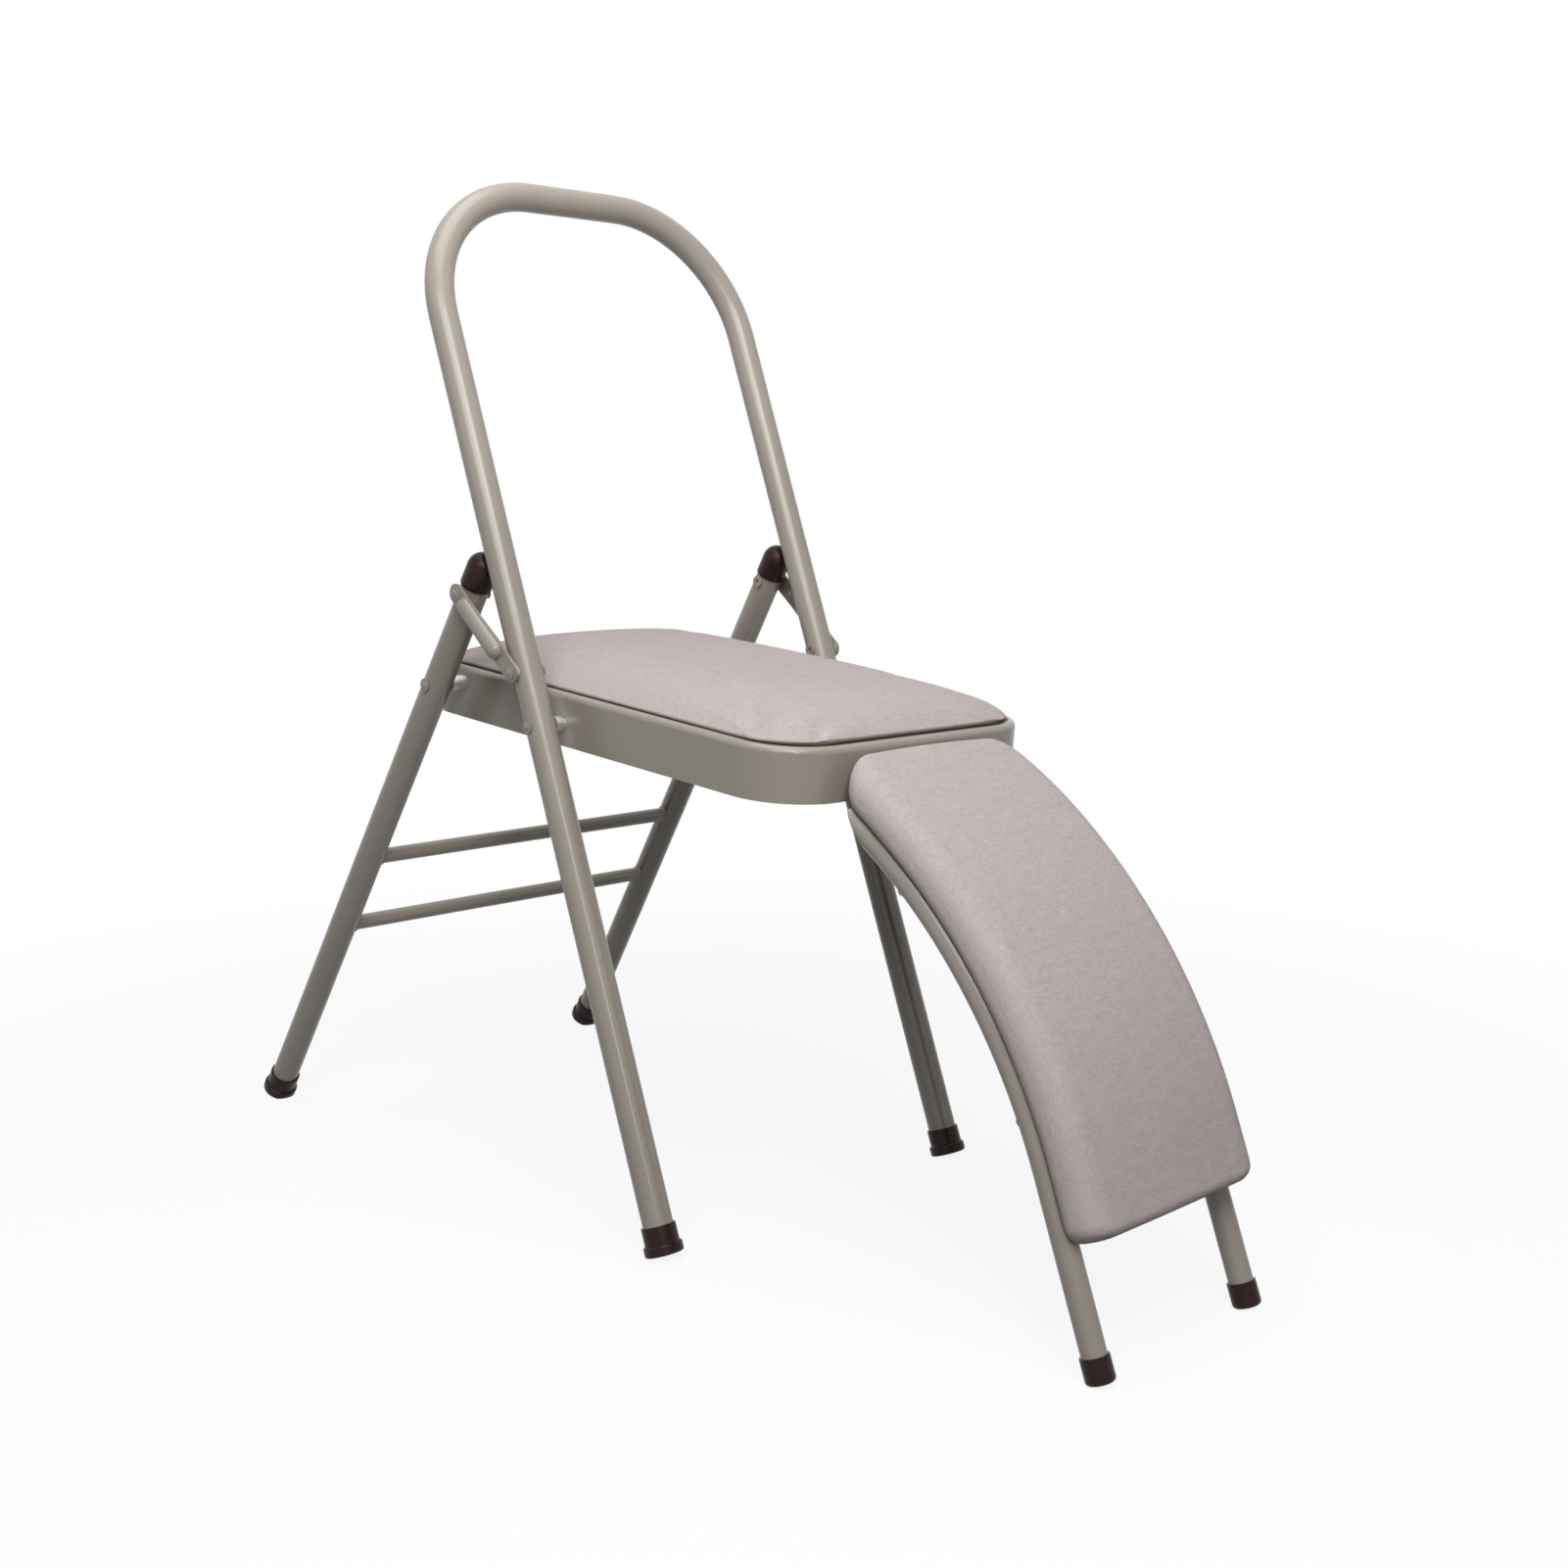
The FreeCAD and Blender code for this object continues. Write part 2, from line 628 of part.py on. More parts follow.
def rear_caps():
    """Bullet caps on the upper ends of the rear legs."""
    outer = size("top_cap_od") / 2
    bore = size("tube_od") / 2 + size("running_gap")
    high = size("top_cap_high")
    nose = size("top_cap_end")
    shoulder = high - outer
    bulge = outer * math.sqrt(0.5)
    for name, side in SIDES:
        start = on_rear(side, rear_top_up() + nose - high)
        body = turned("bullet_" + name, (
            (outer, 0),
            (outer, shoulder),
            (0, high, bulge, shoulder + bulge),
            (0, high - nose),
            (bore, high - nose),
            (bore, 0),
        ), start, rear_axis(side))
        node("rear_top_cap_" + name, body)


def rear_pivots():
    """Rivets and spacers carried by the rear legs."""
    gap = size("side_gap")
    toe = turn("rear_toe_deg")
    crest = rear_crest()
    slant = size("spacer_od") / 2 * math.tan(toe)
    rivets, spacers, link_ends = [], [], []
    for name, side in SIDES:
        across = V(side, 0, 0)
        pivot = on_rear(side, rear_pivot_up())
        wall_out = V(side * size("seat_half"), pivot.y, pivot.z)
        wall_in = wall_out - across * (size("pan_wall") + gap)
        head = pivot + across * (crest + slant)
        rivets.append(rivet("rear_rivet_" + name, (head - wall_in).Length, head, across))
        spacers.append(collar("rear_spacer_" + name, "dims.spacer_od / 2", RIVET_HOLE,
                              wall_out + across * gap, pivot - across * (crest + slant)))
        link = on_rear(side, link_rear_up())
        inner_head = link - across * (crest + slant)
        grip = 2 * crest + slant - size("open_gap")
        link_ends.append(rivet_end("link_inner_" + name, grip, inner_head, -across))
    node("rear_pivot_rivets", group("rear_rivet_pair", *rivets))
    node("rear_spacers", group("rear_spacer_pair", *spacers))
    node("link_inner_rivets", group("link_inner_pair", *link_ends))


# Fold links

def link_rib(name, radius, frame, length, level):
    """Rib on a link, as a whole round-ended bar."""
    start = frame.multVec(V(size("link_rib_front"), level, 0))
    end = frame.multVec(V(length - size("link_rib_rear"), level, 0))
    return capsule(name, radius, start, end)


def fold_links():
    """Pressed bars outside the tubes, with round ends, a sideways step and a hollow half-round rib."""
    wide = size("link_wide")
    thick = size("link_thick")
    inner = front_half() + size("tube_od") / 2 + size("link_washer")
    stepped = on_rear(1, link_rear_up()).x + rear_crest() + size("link_rear_gap")
    joggle = stepped - inner
    rivets = []
    for name, side in SIDES:
        front = on_front(side, link_front_up())
        rear = on_rear(side, link_rear_up())
        run = V(0, rear.y - front.y, rear.z - front.z)
        length = run.Length
        start = V(side * inner, front.y, front.z)
        along = V(run).normalize()
        out = V(side, 0, 0)
        frame = FreeCAD.Placement(start, FreeCAD.Rotation(along, out, along.cross(out), "XYZ"))
        body = new_body("link_bar_" + name, frame)
        side_view = new_sketch(body, "XY_Plane", "link_step_" + name, -wide / 2)
        bend_from = (length - size("link_step_run")) / 2
        bend_to = (length + size("link_step_run")) / 2
        outline(side_view, (
            (-wide / 2, thick),
            (-wide / 2, 0),
            (bend_from, 0),
            (bend_to, joggle),
            (length + wide / 2, joggle),
            (length + wide / 2, joggle + thick),
            (bend_to, joggle + thick),
            (bend_from, thick),
        ))
        pad(body, side_view, "dims.link_wide")
        fillet(body, f"link_round_{name}", "(dims.link_wide - dims.link_end_flat) / 2",
               lambda edge: abs(edge.Length - thick) < TOUCH)
        rib = link_rib("link_rib_" + name, "dims.link_rib_od / 2", frame, length, joggle)
        hollow = link_rib("link_hollow_" + name, "dims.link_rib_od / 2 - dims.link_rib_wall",
                          frame, length, joggle)
        outside = doc.addObject("Part::Box", "link_outside_" + name)
        outside.Length = length
        outside.setExpression("Width", "dims.link_rib_od")
        outside.setExpression("Height", "2 * dims.link_rib_od")
        corner_place = FreeCAD.Placement(V(0, joggle, -size("link_rib_od")), FreeCAD.Rotation())
        outside.Placement = frame.multiply(corner_place)
        half_rib = doc.addObject("Part::Common", "link_half_rib_" + name)
        half_rib.Base = rib
        half_rib.Tool = outside
        blank = fuse("link_blank_" + name, body, half_rib)
        front_hole = cross_hole("link_eye_front_" + name, RIVET_HOLE, V(start.x, front.y, front.z))
        rear_hole = cross_hole("link_eye_rear_" + name, RIVET_HOLE, V(start.x, rear.y, rear.z))
        node("fold_link_" + name, cut("link_drilled_" + name, blank, hollow, front_hole, rear_hole))
        head = V(start.x + side * (joggle + thick), rear.y, rear.z)
        grip = size("link_rear_gap") + thick - size("open_gap")
        rivets.append(rivet("link_rear_" + name, grip, head, out, closed=False))
    node("link_rear_rivets", group("link_rear_pair", *rivets))


# Seat

def on_rim_edge(edge):
    """True for the upper edges of the pressed seat, before they are rounded."""
    return edge.BoundBox.ZMin > size("rim_above") - TOUCH


def seat_screw_places():
    inset = size("seat_screw_in")
    x = size("seat_half") - inset
    return [(sx * x, y) for sx in (-1, 1) for y in (inset - size("seat_front"), size("seat_rear") - inset)]


def plate_level():
    """Underside of the seat plate above the seat pivot."""
    return size("rim_above") - size("recess_deep") - size("pan_wall")


def seat_screw_holes(prefix):
    """Cutters for the board screws, a little longer than the screws."""
    reach = size("pan_wall") + size("screw_bite") + size("soft_gap")
    holes = []
    for number, (x, y) in enumerate(seat_screw_places(), 1):
        start = on_seat(x, y, plate_level())
        end = on_seat(x, y, plate_level() + reach)
        holes.append(bar(f"{prefix}_{number}", "dims.screw_od / 2 + dims.running_gap", start, end))
    return holes


def seat_pan():
    """Pressed pan: walls that deepen to the rear, rounded rim, recessed plate and open underside."""
    body = new_body("pan", seat_frame())
    rim = size("rim_above")
    walls = new_sketch(body, "XY_Plane", "pan_walls", rim)
    seat_plan(walls, 0)
    pad(body, walls, "dims.pan_rear_deep", reverse=True)
    fillet(body, "rim_roll", "dims.rim_round", on_rim_edge)
    hollow = new_sketch(body, "XY_Plane", "pan_hollow", rim - size("pan_rear_deep"))
    seat_plan(hollow, -size("pan_wall"))
    pocket(body, hollow, "dims.pan_rear_deep - dims.recess_deep - dims.pan_wall", reverse=True)
    recess = new_sketch(body, "XY_Plane", "pan_recess", rim)
    seat_plan(recess, -size("rim_wide"))
    pocket(body, recess, "dims.recess_deep")
    taper = new_sketch(body, "YZ_Plane", "pan_taper", -size("seat_half"))
    outline(taper, (
        (-size("seat_front"), rim - size("pan_front_deep")),
        (size("seat_rear"), rim - size("pan_rear_deep")),
        (-size("seat_front"), rim - size("pan_rear_deep")),
    ))
    pocket(body, taper, "2 * dims.seat_half", reverse=True)
    holes = seat_screw_holes("plate_hole")
    for name, side in SIDES:
        for end, point in (("front", on_front(side, size("seat_pivot_up"))),
                           ("rear", on_rear(side, rear_pivot_up()))):
            place = V(side * size("seat_half"), point.y, point.z)
            holes.append(cross_hole(f"pan_{end}_hole_{name}", RIVET_HOLE, place))
    node("seat_pan", cut("pan_drilled", body, *holes))


def cushion_inside():
    """Seat wall to the cushion and its board, in plan."""
    return size("rim_wide") + size("soft_gap")


def cushion_ring(body, name, up, inset):
    """Level outline of the cushion above the rim, in from its seam."""
    sketch = new_sketch(body, "XY_Plane", name, size("rim_above") + size(up))
    shrink = cushion_inside() + inset
    plan(sketch, size("seat_half") - shrink, size("seat_front") - shrink, size("seat_rear") - shrink,
         size("pan_front_corner") - cushion_inside(), size("pan_rear_corner") - cushion_inside())
    return sketch


def seat_top():
    """Board, cushion and the screws that hold the board."""
    inside = cushion_inside()
    level = size("rim_above") - size("recess_deep")
    board = new_body("board", seat_frame())
    sheet_cut = new_sketch(board, "XY_Plane", "board_cut", level)
    seat_plan(sheet_cut, -inside)
    pad(board, sheet_cut, "dims.seat_board_thick")
    node("seat_board", cut("board_drilled", board, *seat_screw_holes("board_hole")))
    cushion = new_body("cushion", seat_frame())
    bottom = level + size("seat_board_thick") + size("soft_gap")
    base = new_sketch(cushion, "XY_Plane", "cushion_base", bottom)
    seat_plan(base, -inside)
    pad(cushion, base, "dims.recess_deep - dims.seat_board_thick - dims.soft_gap + dims.cushion_edge")
    seam = cushion_ring(cushion, "cushion_seam", "cushion_edge", 0)
    shoulder = cushion_ring(cushion, "cushion_side", "cushion_shoulder", size("cushion_shoulder_in"))
    top = cushion_ring(cushion, "cushion_top", "cushion_high", size("cushion_crown_in"))
    crown = cushion.newObject("PartDesign::AdditiveLoft", "cushion_swell")
    crown.Profile = seam
    crown.Sections = [shoulder, top]
    node("seat_cushion", cushion)
    down = seat_frame().Rotation.multVec(-Z_AXIS)
    screws = []
    for number, (x, y) in enumerate(seat_screw_places(), 1):
        grip = size("pan_wall") + size("screw_bite")
        screws.append(screw(f"board_screw_{number}", grip, on_seat(x, y, plate_level()), down))
    node("seat_board_screws", group("board_screw_set", *screws))


def hook_rail():
    """Round rail on two lugs in front of the seat, which carries the arc support."""
    reach = V(hook_half() + size("rail_past"), 0, 0)
    node("hook_rail", bar("rail_rod", "dims.rail_od / 2", rail_centre() - reach, rail_centre() + reach))
    eye = size("lug_eye_od") / 2
    y = -size("seat_front") - size("rail_ahead")
    z = -size("rail_below")
    wall = -size("seat_front")
    low = size("rim_above") - size("pan_front_deep") + size("lug_up")
    lugs = []
    for name, side in SIDES:
        body = new_body("lug_" + name, seat_frame())
        start = side * (hook_half() - size("lug_in")) - size("lug_thick") / 2
        shape = new_sketch(body, "YZ_Plane", "lug_shape_" + name, start)
        outline(shape, (
            (wall, low),
            (wall, low + size("lug_root")),
            (y + size("lug_step"), z + eye),
            (y, z + eye),
            (y, z - eye, y - eye, z),
        ))
        pad(body, shape, "dims.lug_thick")
        bore = bar("lug_bore_" + name, "dims.rail_od / 2 + dims.running_gap",
                   rail_centre() - reach, rail_centre() + reach)
        lugs.append(cut("lug_drilled_" + name, body, bore))
    node("hook_rail_lugs", group("lug_pair", *lugs))


# Arc support

ARC_R = "dims.arc_tube_od / 2"
ARC_BORE = "dims.arc_tube_od / 2 - dims.arc_tube_wall"


def arc_low():
    """Height of the arc tubes' lower ends along the tube."""
    lean = turn("arc_lean_deg")
    seat = size("arc_cap_od") / 2 * math.tan(lean) - size("arc_cap_flat") / math.cos(lean)
    return seat + size("arc_cap_bottom")


def bend_length():
    """Length of the measured turn of an arc tube."""
    return size("arc_bend") * turn("arc_turn_deg")


def upper_cross():
    """Local point of the arc frame on the upper cross tube's axis."""
    return on_bend(bend_length() - size("arc_upper_cross"))


def arc_bar(name, x, radius, short=0.0):
    """Round bar bent along an arc tube's axis, stopped short of its upper end."""
    body = new_body(name, arc_frame(x))
    length = bend_length() + size("arc_tube_past") - short
    start = V(0, arc_leg(), 0)
    middle = on_bend(length / 2)
    end = on_bend(length)
    spine = new_sketch(body, "YZ_Plane", name + "_line")
    spine.addGeometry(Part.LineSegment(V(0, arc_low(), 0), start))
    spine.addGeometry(Part.Arc(start, V(middle.y, middle.z, 0), V(end.y, end.z, 0)))
    profile = new_sketch(body, "XY_Plane", name + "_ring", arc_low())
    ring(profile, radius)
    pipe = body.newObject("PartDesign::AdditivePipe", name + "_pipe")
    pipe.Profile = profile
    pipe.Spine = (spine, [])
    return body


def slanted_end(body, name):
    """Cuts the underside of an arc tube's upper end to a slant, so that it lies flat under the pad."""
    under = -size("arc_tube_od") / 2
    past = bend_length() + size("arc_tube_past")
    start = on_bend(bend_length() - size("arc_slant_from"), under - size("soft_gap"))
    tip = on_bend(past, -under - size("arc_slant_tip"))
    beyond = tip + (tip - start)
    low = on_bend(past + size("arc_tube_od"), 2 * under)
    wedge = new_sketch(body, "YZ_Plane", name + "_slant", 2 * under)
    outline(wedge, ((start.y, start.z), (beyond.y, beyond.z), (low.y, low.z)))
    pocket(body, wedge, "2 * dims.arc_tube_od", reverse=True)


def arc_screw_line(x, along):
    """Where a board screw enters an arc tube and the way its head faces."""
    frame = arc_frame(x)
    under = frame.multVec(on_bend(along, -size("arc_tube_od") / 2))
    outward = (under - frame.multVec(on_bend(along))).normalize()
    return under, outward


def arc_screw_holes(prefix, x):
    reach = size("arc_tube_od") + size("soft_gap") + size("screw_bite") + size("soft_gap")
    holes = []
    for alias in ("arc_screw_low", "arc_screw_high"):
        under, outward = arc_screw_line(x, size(alias))
        holes.append(bar(f"{prefix}_{alias}", "dims.screw_od / 2 + dims.running_gap",
                         under + outward, under - outward * reach))
    return holes


def arc_frame_tubes():
    """Two bent tubes with solid slanted upper ends, and two cross tubes saddled on them."""
    solid = size("arc_tube_past") + size("arc_slant_from") + size("arc_tube_wall")
    for name, side in SIDES:
        x = side * arc_half()
        outer = arc_bar("arc_outer_" + name, x, ARC_R)
        slanted_end(outer, "arc_outer_" + name)
        inner = arc_bar("arc_inner_" + name, x, ARC_BORE, solid)
        holes = arc_screw_holes("arc_tube_hole_" + name, x)
        node("arc_tube_" + name, cut("arc_hollow_" + name, outer, inner, *holes))
    lower = V(0, 0, arc_leg() - size("arc_lower_cross"))
    for name, place in (("upper", upper_cross()), ("lower", lower)):
        ends = [arc_frame(side * arc_half()).multVec(place) for _, side in SIDES]
        rod = bar(f"arc_{name}_rod", "dims.arc_cross_od / 2", *ends)
        bore = bar(f"arc_{name}_bore", "dims.arc_cross_od / 2 - dims.arc_cross_wall", *ends)
        saddles = []
        for side_name, side in SIDES:
            saddles.append(arc_bar(f"arc_{name}_saddle_{side_name}", side * arc_half(), ARC_R))
        node(f"arc_{name}_cross_tube", cut(f"arc_{name}_saddled", rod, bore, *saddles))


def arc_hooks():
    """Flat hooks welded on the upper cross tube, open downward over the rail."""
    lean = size("arc_lean_deg") + size("arc_turn_deg")
    thick = size("hook_thick")
    slot = size("rail_od") + 2 * size("running_gap")
    for name, side in SIDES:
        rail = rail_centre() + V(side * hook_half(), 0, 0)
        half = V(thick / 2, 0, 0)
        eye = bar("hook_eye_" + name, "dims.hook_od / 2", rail - half, rail + half)
        frame = FreeCAD.Placement(rail, FreeCAD.Rotation(X_AXIS, 180 - lean))
        neck = doc.addObject("Part::Box", "hook_neck_" + name)
        neck.setExpression("Length", "dims.hook_thick")
        neck.setExpression("Width", "dims.hook_neck")
        neck.setExpression("Height", "dims.hook_reach + dims.arc_upper_cross")
        corner_place = FreeCAD.Placement(V(-thick / 2, -size("hook_neck") / 2, 0), FreeCAD.Rotation())
        neck.Placement = frame.multiply(corner_place)
        weld = arc_frame(side * hook_half()).multVec(upper_cross())
        saddle = bar("hook_saddle_" + name, "dims.arc_cross_od / 2", weld - half * 2, weld + half * 2)
        bore = bar("hook_bore_" + name, "dims.rail_od / 2 + dims.running_gap",
                   rail - half * 2, rail + half * 2)
        gap = doc.addObject("Part::Box", "hook_gap_" + name)
        gap.setExpression("Length", "2 * dims.hook_thick")
        gap.setExpression("Width", "dims.rail_od + 2 * dims.running_gap")
        gap.setExpression("Height", "dims.hook_od")
        gap.Placement.Base = rail - V(thick, slot / 2, size("hook_od"))
        blank = fuse("hook_blank_" + name, eye, neck)
        node("arc_hook_" + name, cut("hook_cut_" + name, blank, bore, gap, saddle))


def strip(sketch, below, past, inner, outer, lean=0.0):
    """Side view of a strip that follows the arc tubes, between two heights proud of their axis."""
    top = bend_length() + past
    leg = arc_leg()

    def bend_point(along, proud):
        point = on_bend(along, proud)
        return point.y, point.z

    outline(sketch, (
        (-inner, leg - below),
        (-inner, leg),
        (*bend_point(top, inner), *bend_point(top / 2, inner)),
        bend_point(top + lean, outer),
        (-outer, leg, *bend_point(top / 2, outer)),
        (-outer, leg - below),
    ))


def proud_of_arc(point):
    """How far a local point of the arc frame stands proud of the tube axis."""
    if point.z <= arc_leg():
        return -point.y
    return math.hypot(size("arc_bend") - point.y, point.z - arc_leg()) - size("arc_bend")


def through_strip(thick):
    """Picks the edges that run through a strip of this thickness, from its back to its front."""
    def wanted(edge):
        ends = [proud_of_arc(edge.valueAt(end)) for end in (edge.FirstParameter, edge.LastParameter)]
        return abs(abs(ends[0] - ends[1]) - size(thick)) < TOUCH
    return wanted


def arc_top():
    """Curved board on the tubes and the pad wrapped round it."""
    inner = size("arc_tube_od") / 2 + size("soft_gap")
    outer = inner + size("pad_thick")
    inset = size("arc_board_in")
    gap = size("soft_gap")
    board = new_body("arc_ply", arc_frame(inset - size("pad_half")))
    side_view = new_sketch(board, "YZ_Plane", "arc_ply_side")
    strip(side_view, size("pad_below") - inset, size("pad_past") - inset,
          inner, inner + size("arc_board_thick"))
    pad(board, side_view, "2 * (dims.pad_half - dims.arc_board_in)")
    fillet(board, "arc_ply_corners", "dims.pad_corner - dims.arc_board_in", through_strip("arc_board_thick"))
    holes = []
    for name, side in SIDES:
        holes += arc_screw_holes("arc_board_hole_" + name, side * arc_half())
    node("arc_board", cut("arc_ply_drilled", board, *holes))
    cushion = new_body("arc_cushion", arc_frame(-size("pad_half")))
    side_view = new_sketch(cushion, "YZ_Plane", "arc_cushion_side")
    strip(side_view, size("pad_below"), size("pad_past"), inner, outer, size("pad_slant"))
    pad(cushion, side_view, "2 * dims.pad_half")
    wide = 2 * size("pad_half")
    fillet(cushion, "arc_cushion_corners", "dims.pad_corner", through_strip("pad_thick"))

    def on_front_edge(edge):
        ends = (edge.FirstParameter, (edge.FirstParameter + edge.LastParameter) / 2, edge.LastParameter)
        points = [edge.valueAt(end) for end in ends]
        across_join = abs(points[1].z - arc_leg()) < TOUCH and edge.BoundBox.XLength > wide / 2
        return not across_join and all(abs(proud_of_arc(point) - outer) < TOUCH for point in points)

    fillet(cushion, "arc_cushion_front", "dims.pad_round", on_front_edge)
    seat = new_sketch(cushion, "YZ_Plane", "arc_cushion_seat", inset - gap)
    strip(seat, size("pad_below") - inset + gap, size("pad_past") - inset + gap,
          inner - gap, inner + size("arc_board_thick") + gap)
    pocket(cushion, seat, "2 * (dims.pad_half - dims.arc_board_in + dims.soft_gap)", reverse=True)
    node("arc_pad", cushion)
    screws = []
    for name, side in SIDES:
        for alias in ("arc_screw_low", "arc_screw_high"):
            under, outward = arc_screw_line(side * arc_half(), size(alias))
            grip = size("arc_tube_od") + gap + size("screw_bite")
            screws.append(screw(f"{alias}_{name}", grip, under, outward))
    node("arc_board_screws", group("arc_screw_set", *screws))


def arc_feet():
    """Plain caps with a rounded bottom, worn flat where they stand."""
    outer = size("arc_cap_od") / 2
    bore = size("arc_tube_od") / 2 + size("running_gap")
    high = size("arc_cap_high")
    soft = size("arc_cap_round")
    slack = soft * (1 - math.sqrt(0.5))
    lean = turn("arc_lean_deg")
    up = V(0, math.sin(lean), math.cos(lean))
    for name, side in SIDES:
        label = "arc_foot_cap_" + name
        start = arc_foot() + V(side * arc_half(), 0, 0) + up * (arc_low() - size("arc_cap_bottom"))
        body = turned(label + "_moulding", (
            (outer - soft, 0),
            (outer, soft, outer - slack, slack),
            (outer, high),
            (bore, high),
            (bore, size("arc_cap_bottom")),
            (0, size("arc_cap_bottom")),
            (0, 0),
        ), start, up)
        node(label, cut(label + "_worn", body, floor_cutter(label + "_floor")))


def stand_on_origin():
    """Moves the chair so that the origin is on the floor under the middle of its outline."""
    doc.recompute()
    box = FreeCAD.BoundBox()
    for _, obj in nodes:
        box.add(obj.Shape.optimalBoundingBox(False, False))
    shift = FreeCAD.Placement(V(-box.Center.x, -box.Center.y, -box.ZMin), FreeCAD.Rotation())
    for _, obj in nodes:
        obj.Placement = shift.multiply(obj.Placement)
    doc.recompute()
    return shift.Base


def check():
    """Stops on a failed object or a bad solid."""
    for obj in doc.Objects:
        if {"Invalid", "Error"} & set(obj.State):
            raise RuntimeError(f"{obj.Label} failed: {obj.State}")
    for label, obj in nodes:
        if obj.Shape.isNull() or not obj.Shape.isValid() or not obj.Shape.Solids:
            raise RuntimeError(f"{label} has no valid solid")


front_hoop()
for side_name, side_sign in SIDES:
    chair_foot("front_foot_cap_" + side_name, turn("front_lean_deg"),
               on_front(side_sign, 0), front_axis())
    chair_foot("rear_foot_cap_" + side_name, turn("rear_lean_deg"),
               on_rear(side_sign, 0), rear_axis(side_sign))
front_pivots()
rear_legs()
rear_caps()
rear_pivots()
fold_links()
seat_pan()
seat_top()
hook_rail()
arc_frame_tubes()
arc_hooks()
arc_top()
arc_feet()
origin_shift = stand_on_origin()
check()

os.makedirs("parts", exist_ok=True)
for label, obj in nodes:
    obj.Shape.exportStep(f"parts/{label}.step")
print("origin moved by", origin_shift)
for title, point in (("seat pivot", seat_pivot()), ("rear pivot", on_rear(1, rear_pivot_up())),
                     ("link front", on_front(1, link_front_up())),
                     ("link rear", on_rear(1, link_rear_up())), ("hook rail", rail_centre())):
    print(title, point + origin_shift)
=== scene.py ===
import json
import math

import bmesh
import bpy
from bpy.props import FloatProperty, FloatVectorProperty, IntProperty, PointerProperty
from mathutils import Matrix, Vector


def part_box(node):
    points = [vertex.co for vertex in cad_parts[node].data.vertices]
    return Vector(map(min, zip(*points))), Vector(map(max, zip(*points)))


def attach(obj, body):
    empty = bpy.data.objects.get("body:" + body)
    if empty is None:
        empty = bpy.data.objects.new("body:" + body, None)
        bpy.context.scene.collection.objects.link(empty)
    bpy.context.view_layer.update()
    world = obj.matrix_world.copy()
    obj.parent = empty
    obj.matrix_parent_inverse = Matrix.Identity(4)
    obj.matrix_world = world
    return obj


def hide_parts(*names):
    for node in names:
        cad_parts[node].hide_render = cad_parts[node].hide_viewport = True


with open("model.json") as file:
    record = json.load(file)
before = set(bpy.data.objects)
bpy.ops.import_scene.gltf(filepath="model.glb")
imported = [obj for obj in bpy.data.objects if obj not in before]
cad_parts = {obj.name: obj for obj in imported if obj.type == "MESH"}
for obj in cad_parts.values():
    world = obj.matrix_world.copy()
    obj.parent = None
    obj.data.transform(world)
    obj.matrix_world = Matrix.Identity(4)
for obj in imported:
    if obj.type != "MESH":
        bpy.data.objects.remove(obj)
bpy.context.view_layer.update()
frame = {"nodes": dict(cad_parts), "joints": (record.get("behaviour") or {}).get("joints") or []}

bl_info = {
    "name": "Yoga Chair Dresser",
    "version": (1, 0, 0),
    "blender": (4, 5, 0),
    "location": "View3D > Sidebar > Yoga Chair",
    "description": "Paint, cloth, rubber and studio light for a folding yoga chair with a padded arc support",
    "category": "Object",
}

NODES = frame["nodes"]
SEAT_PIVOT = Vector(next(joint["pos_m"] for joint in frame["joints"] if joint["name"] == "seat_fold"))

PAINTED = (
    "front_hoop_tube", "rear_leg_right", "rear_leg_left", "upper_rung", "lower_rung", "seat_pan", "hook_rail",
    "hook_rail_lugs", "fold_link_right", "fold_link_left", "arc_tube_right", "arc_tube_left",
    "arc_upper_cross_tube", "arc_lower_cross_tube", "arc_hook_right", "arc_hook_left", "seat_pivot_rivets",
    "link_front_rivets", "rear_pivot_rivets", "link_rear_rivets", "link_inner_rivets",
)
PLATED = (
    "front_spacers", "rear_spacers", "link_front_washers", "seat_board_screws", "arc_board_screws",
)
RUBBER = (
    "front_foot_cap_right", "front_foot_cap_left", "rear_foot_cap_right", "rear_foot_cap_left",
    "rear_top_cap_right", "rear_top_cap_left", "arc_foot_cap_right", "arc_foot_cap_left",
)
BOARDS = ("seat_board", "arc_board")
WELDS = (
    ("rung_welds", "rear_legs", ("upper_rung", "lower_rung")),
    ("arc_cross_welds", "arc_support", ("arc_upper_cross_tube", "arc_lower_cross_tube")),
)

# Seat cushion: points of its mesh, how they gather at the edges, and the run of its crown
CUSHION_ROWS, CUSHION_COLUMNS = 73, 45
CUSHION_GATHER_ALONG, CUSHION_GATHER_ACROSS = 0.75, 0.72
CUSHION_UNDERSIDE = 0.985
CUSHION_BLEND = 0.030
CROWN_POWER = 2.1
CROWN_FALL_ACROSS, CROWN_FALL_ALONG = 0.17, 0.13

# Arc pad: points of its mesh, the rise of its face, and how far its upper end changes it
PAD_ROWS, PAD_ACROSS, PAD_ROUND_STEPS, PAD_TUCK_STEPS = 75, 33, 7, 3
PAD_GATHER_ALONG, PAD_GATHER_ACROSS = 0.8, 0.5
PAD_RISE = 0.0012
PAD_ROUND_SHARE, PAD_TUCK_SHARE = 0.8, 0.25
SLANT_RUN = 0.09
NIP_RUN = 0.07

FILL_PRESSURE = 2.2
WAVE_SCALE_BY_PITCH = 0.314

# Weld beads: share of a tube's radius that counts as its rim, points of a bead, and its two ripples
WELD_RIM = 0.95
WELD_STEPS, WELD_SIDES = 72, 8
WELD_RIPPLE, WELD_RIPPLE_COUNT = 0.13, 18
WELD_WAVER, WELD_WAVER_COUNT = 0.08, 5

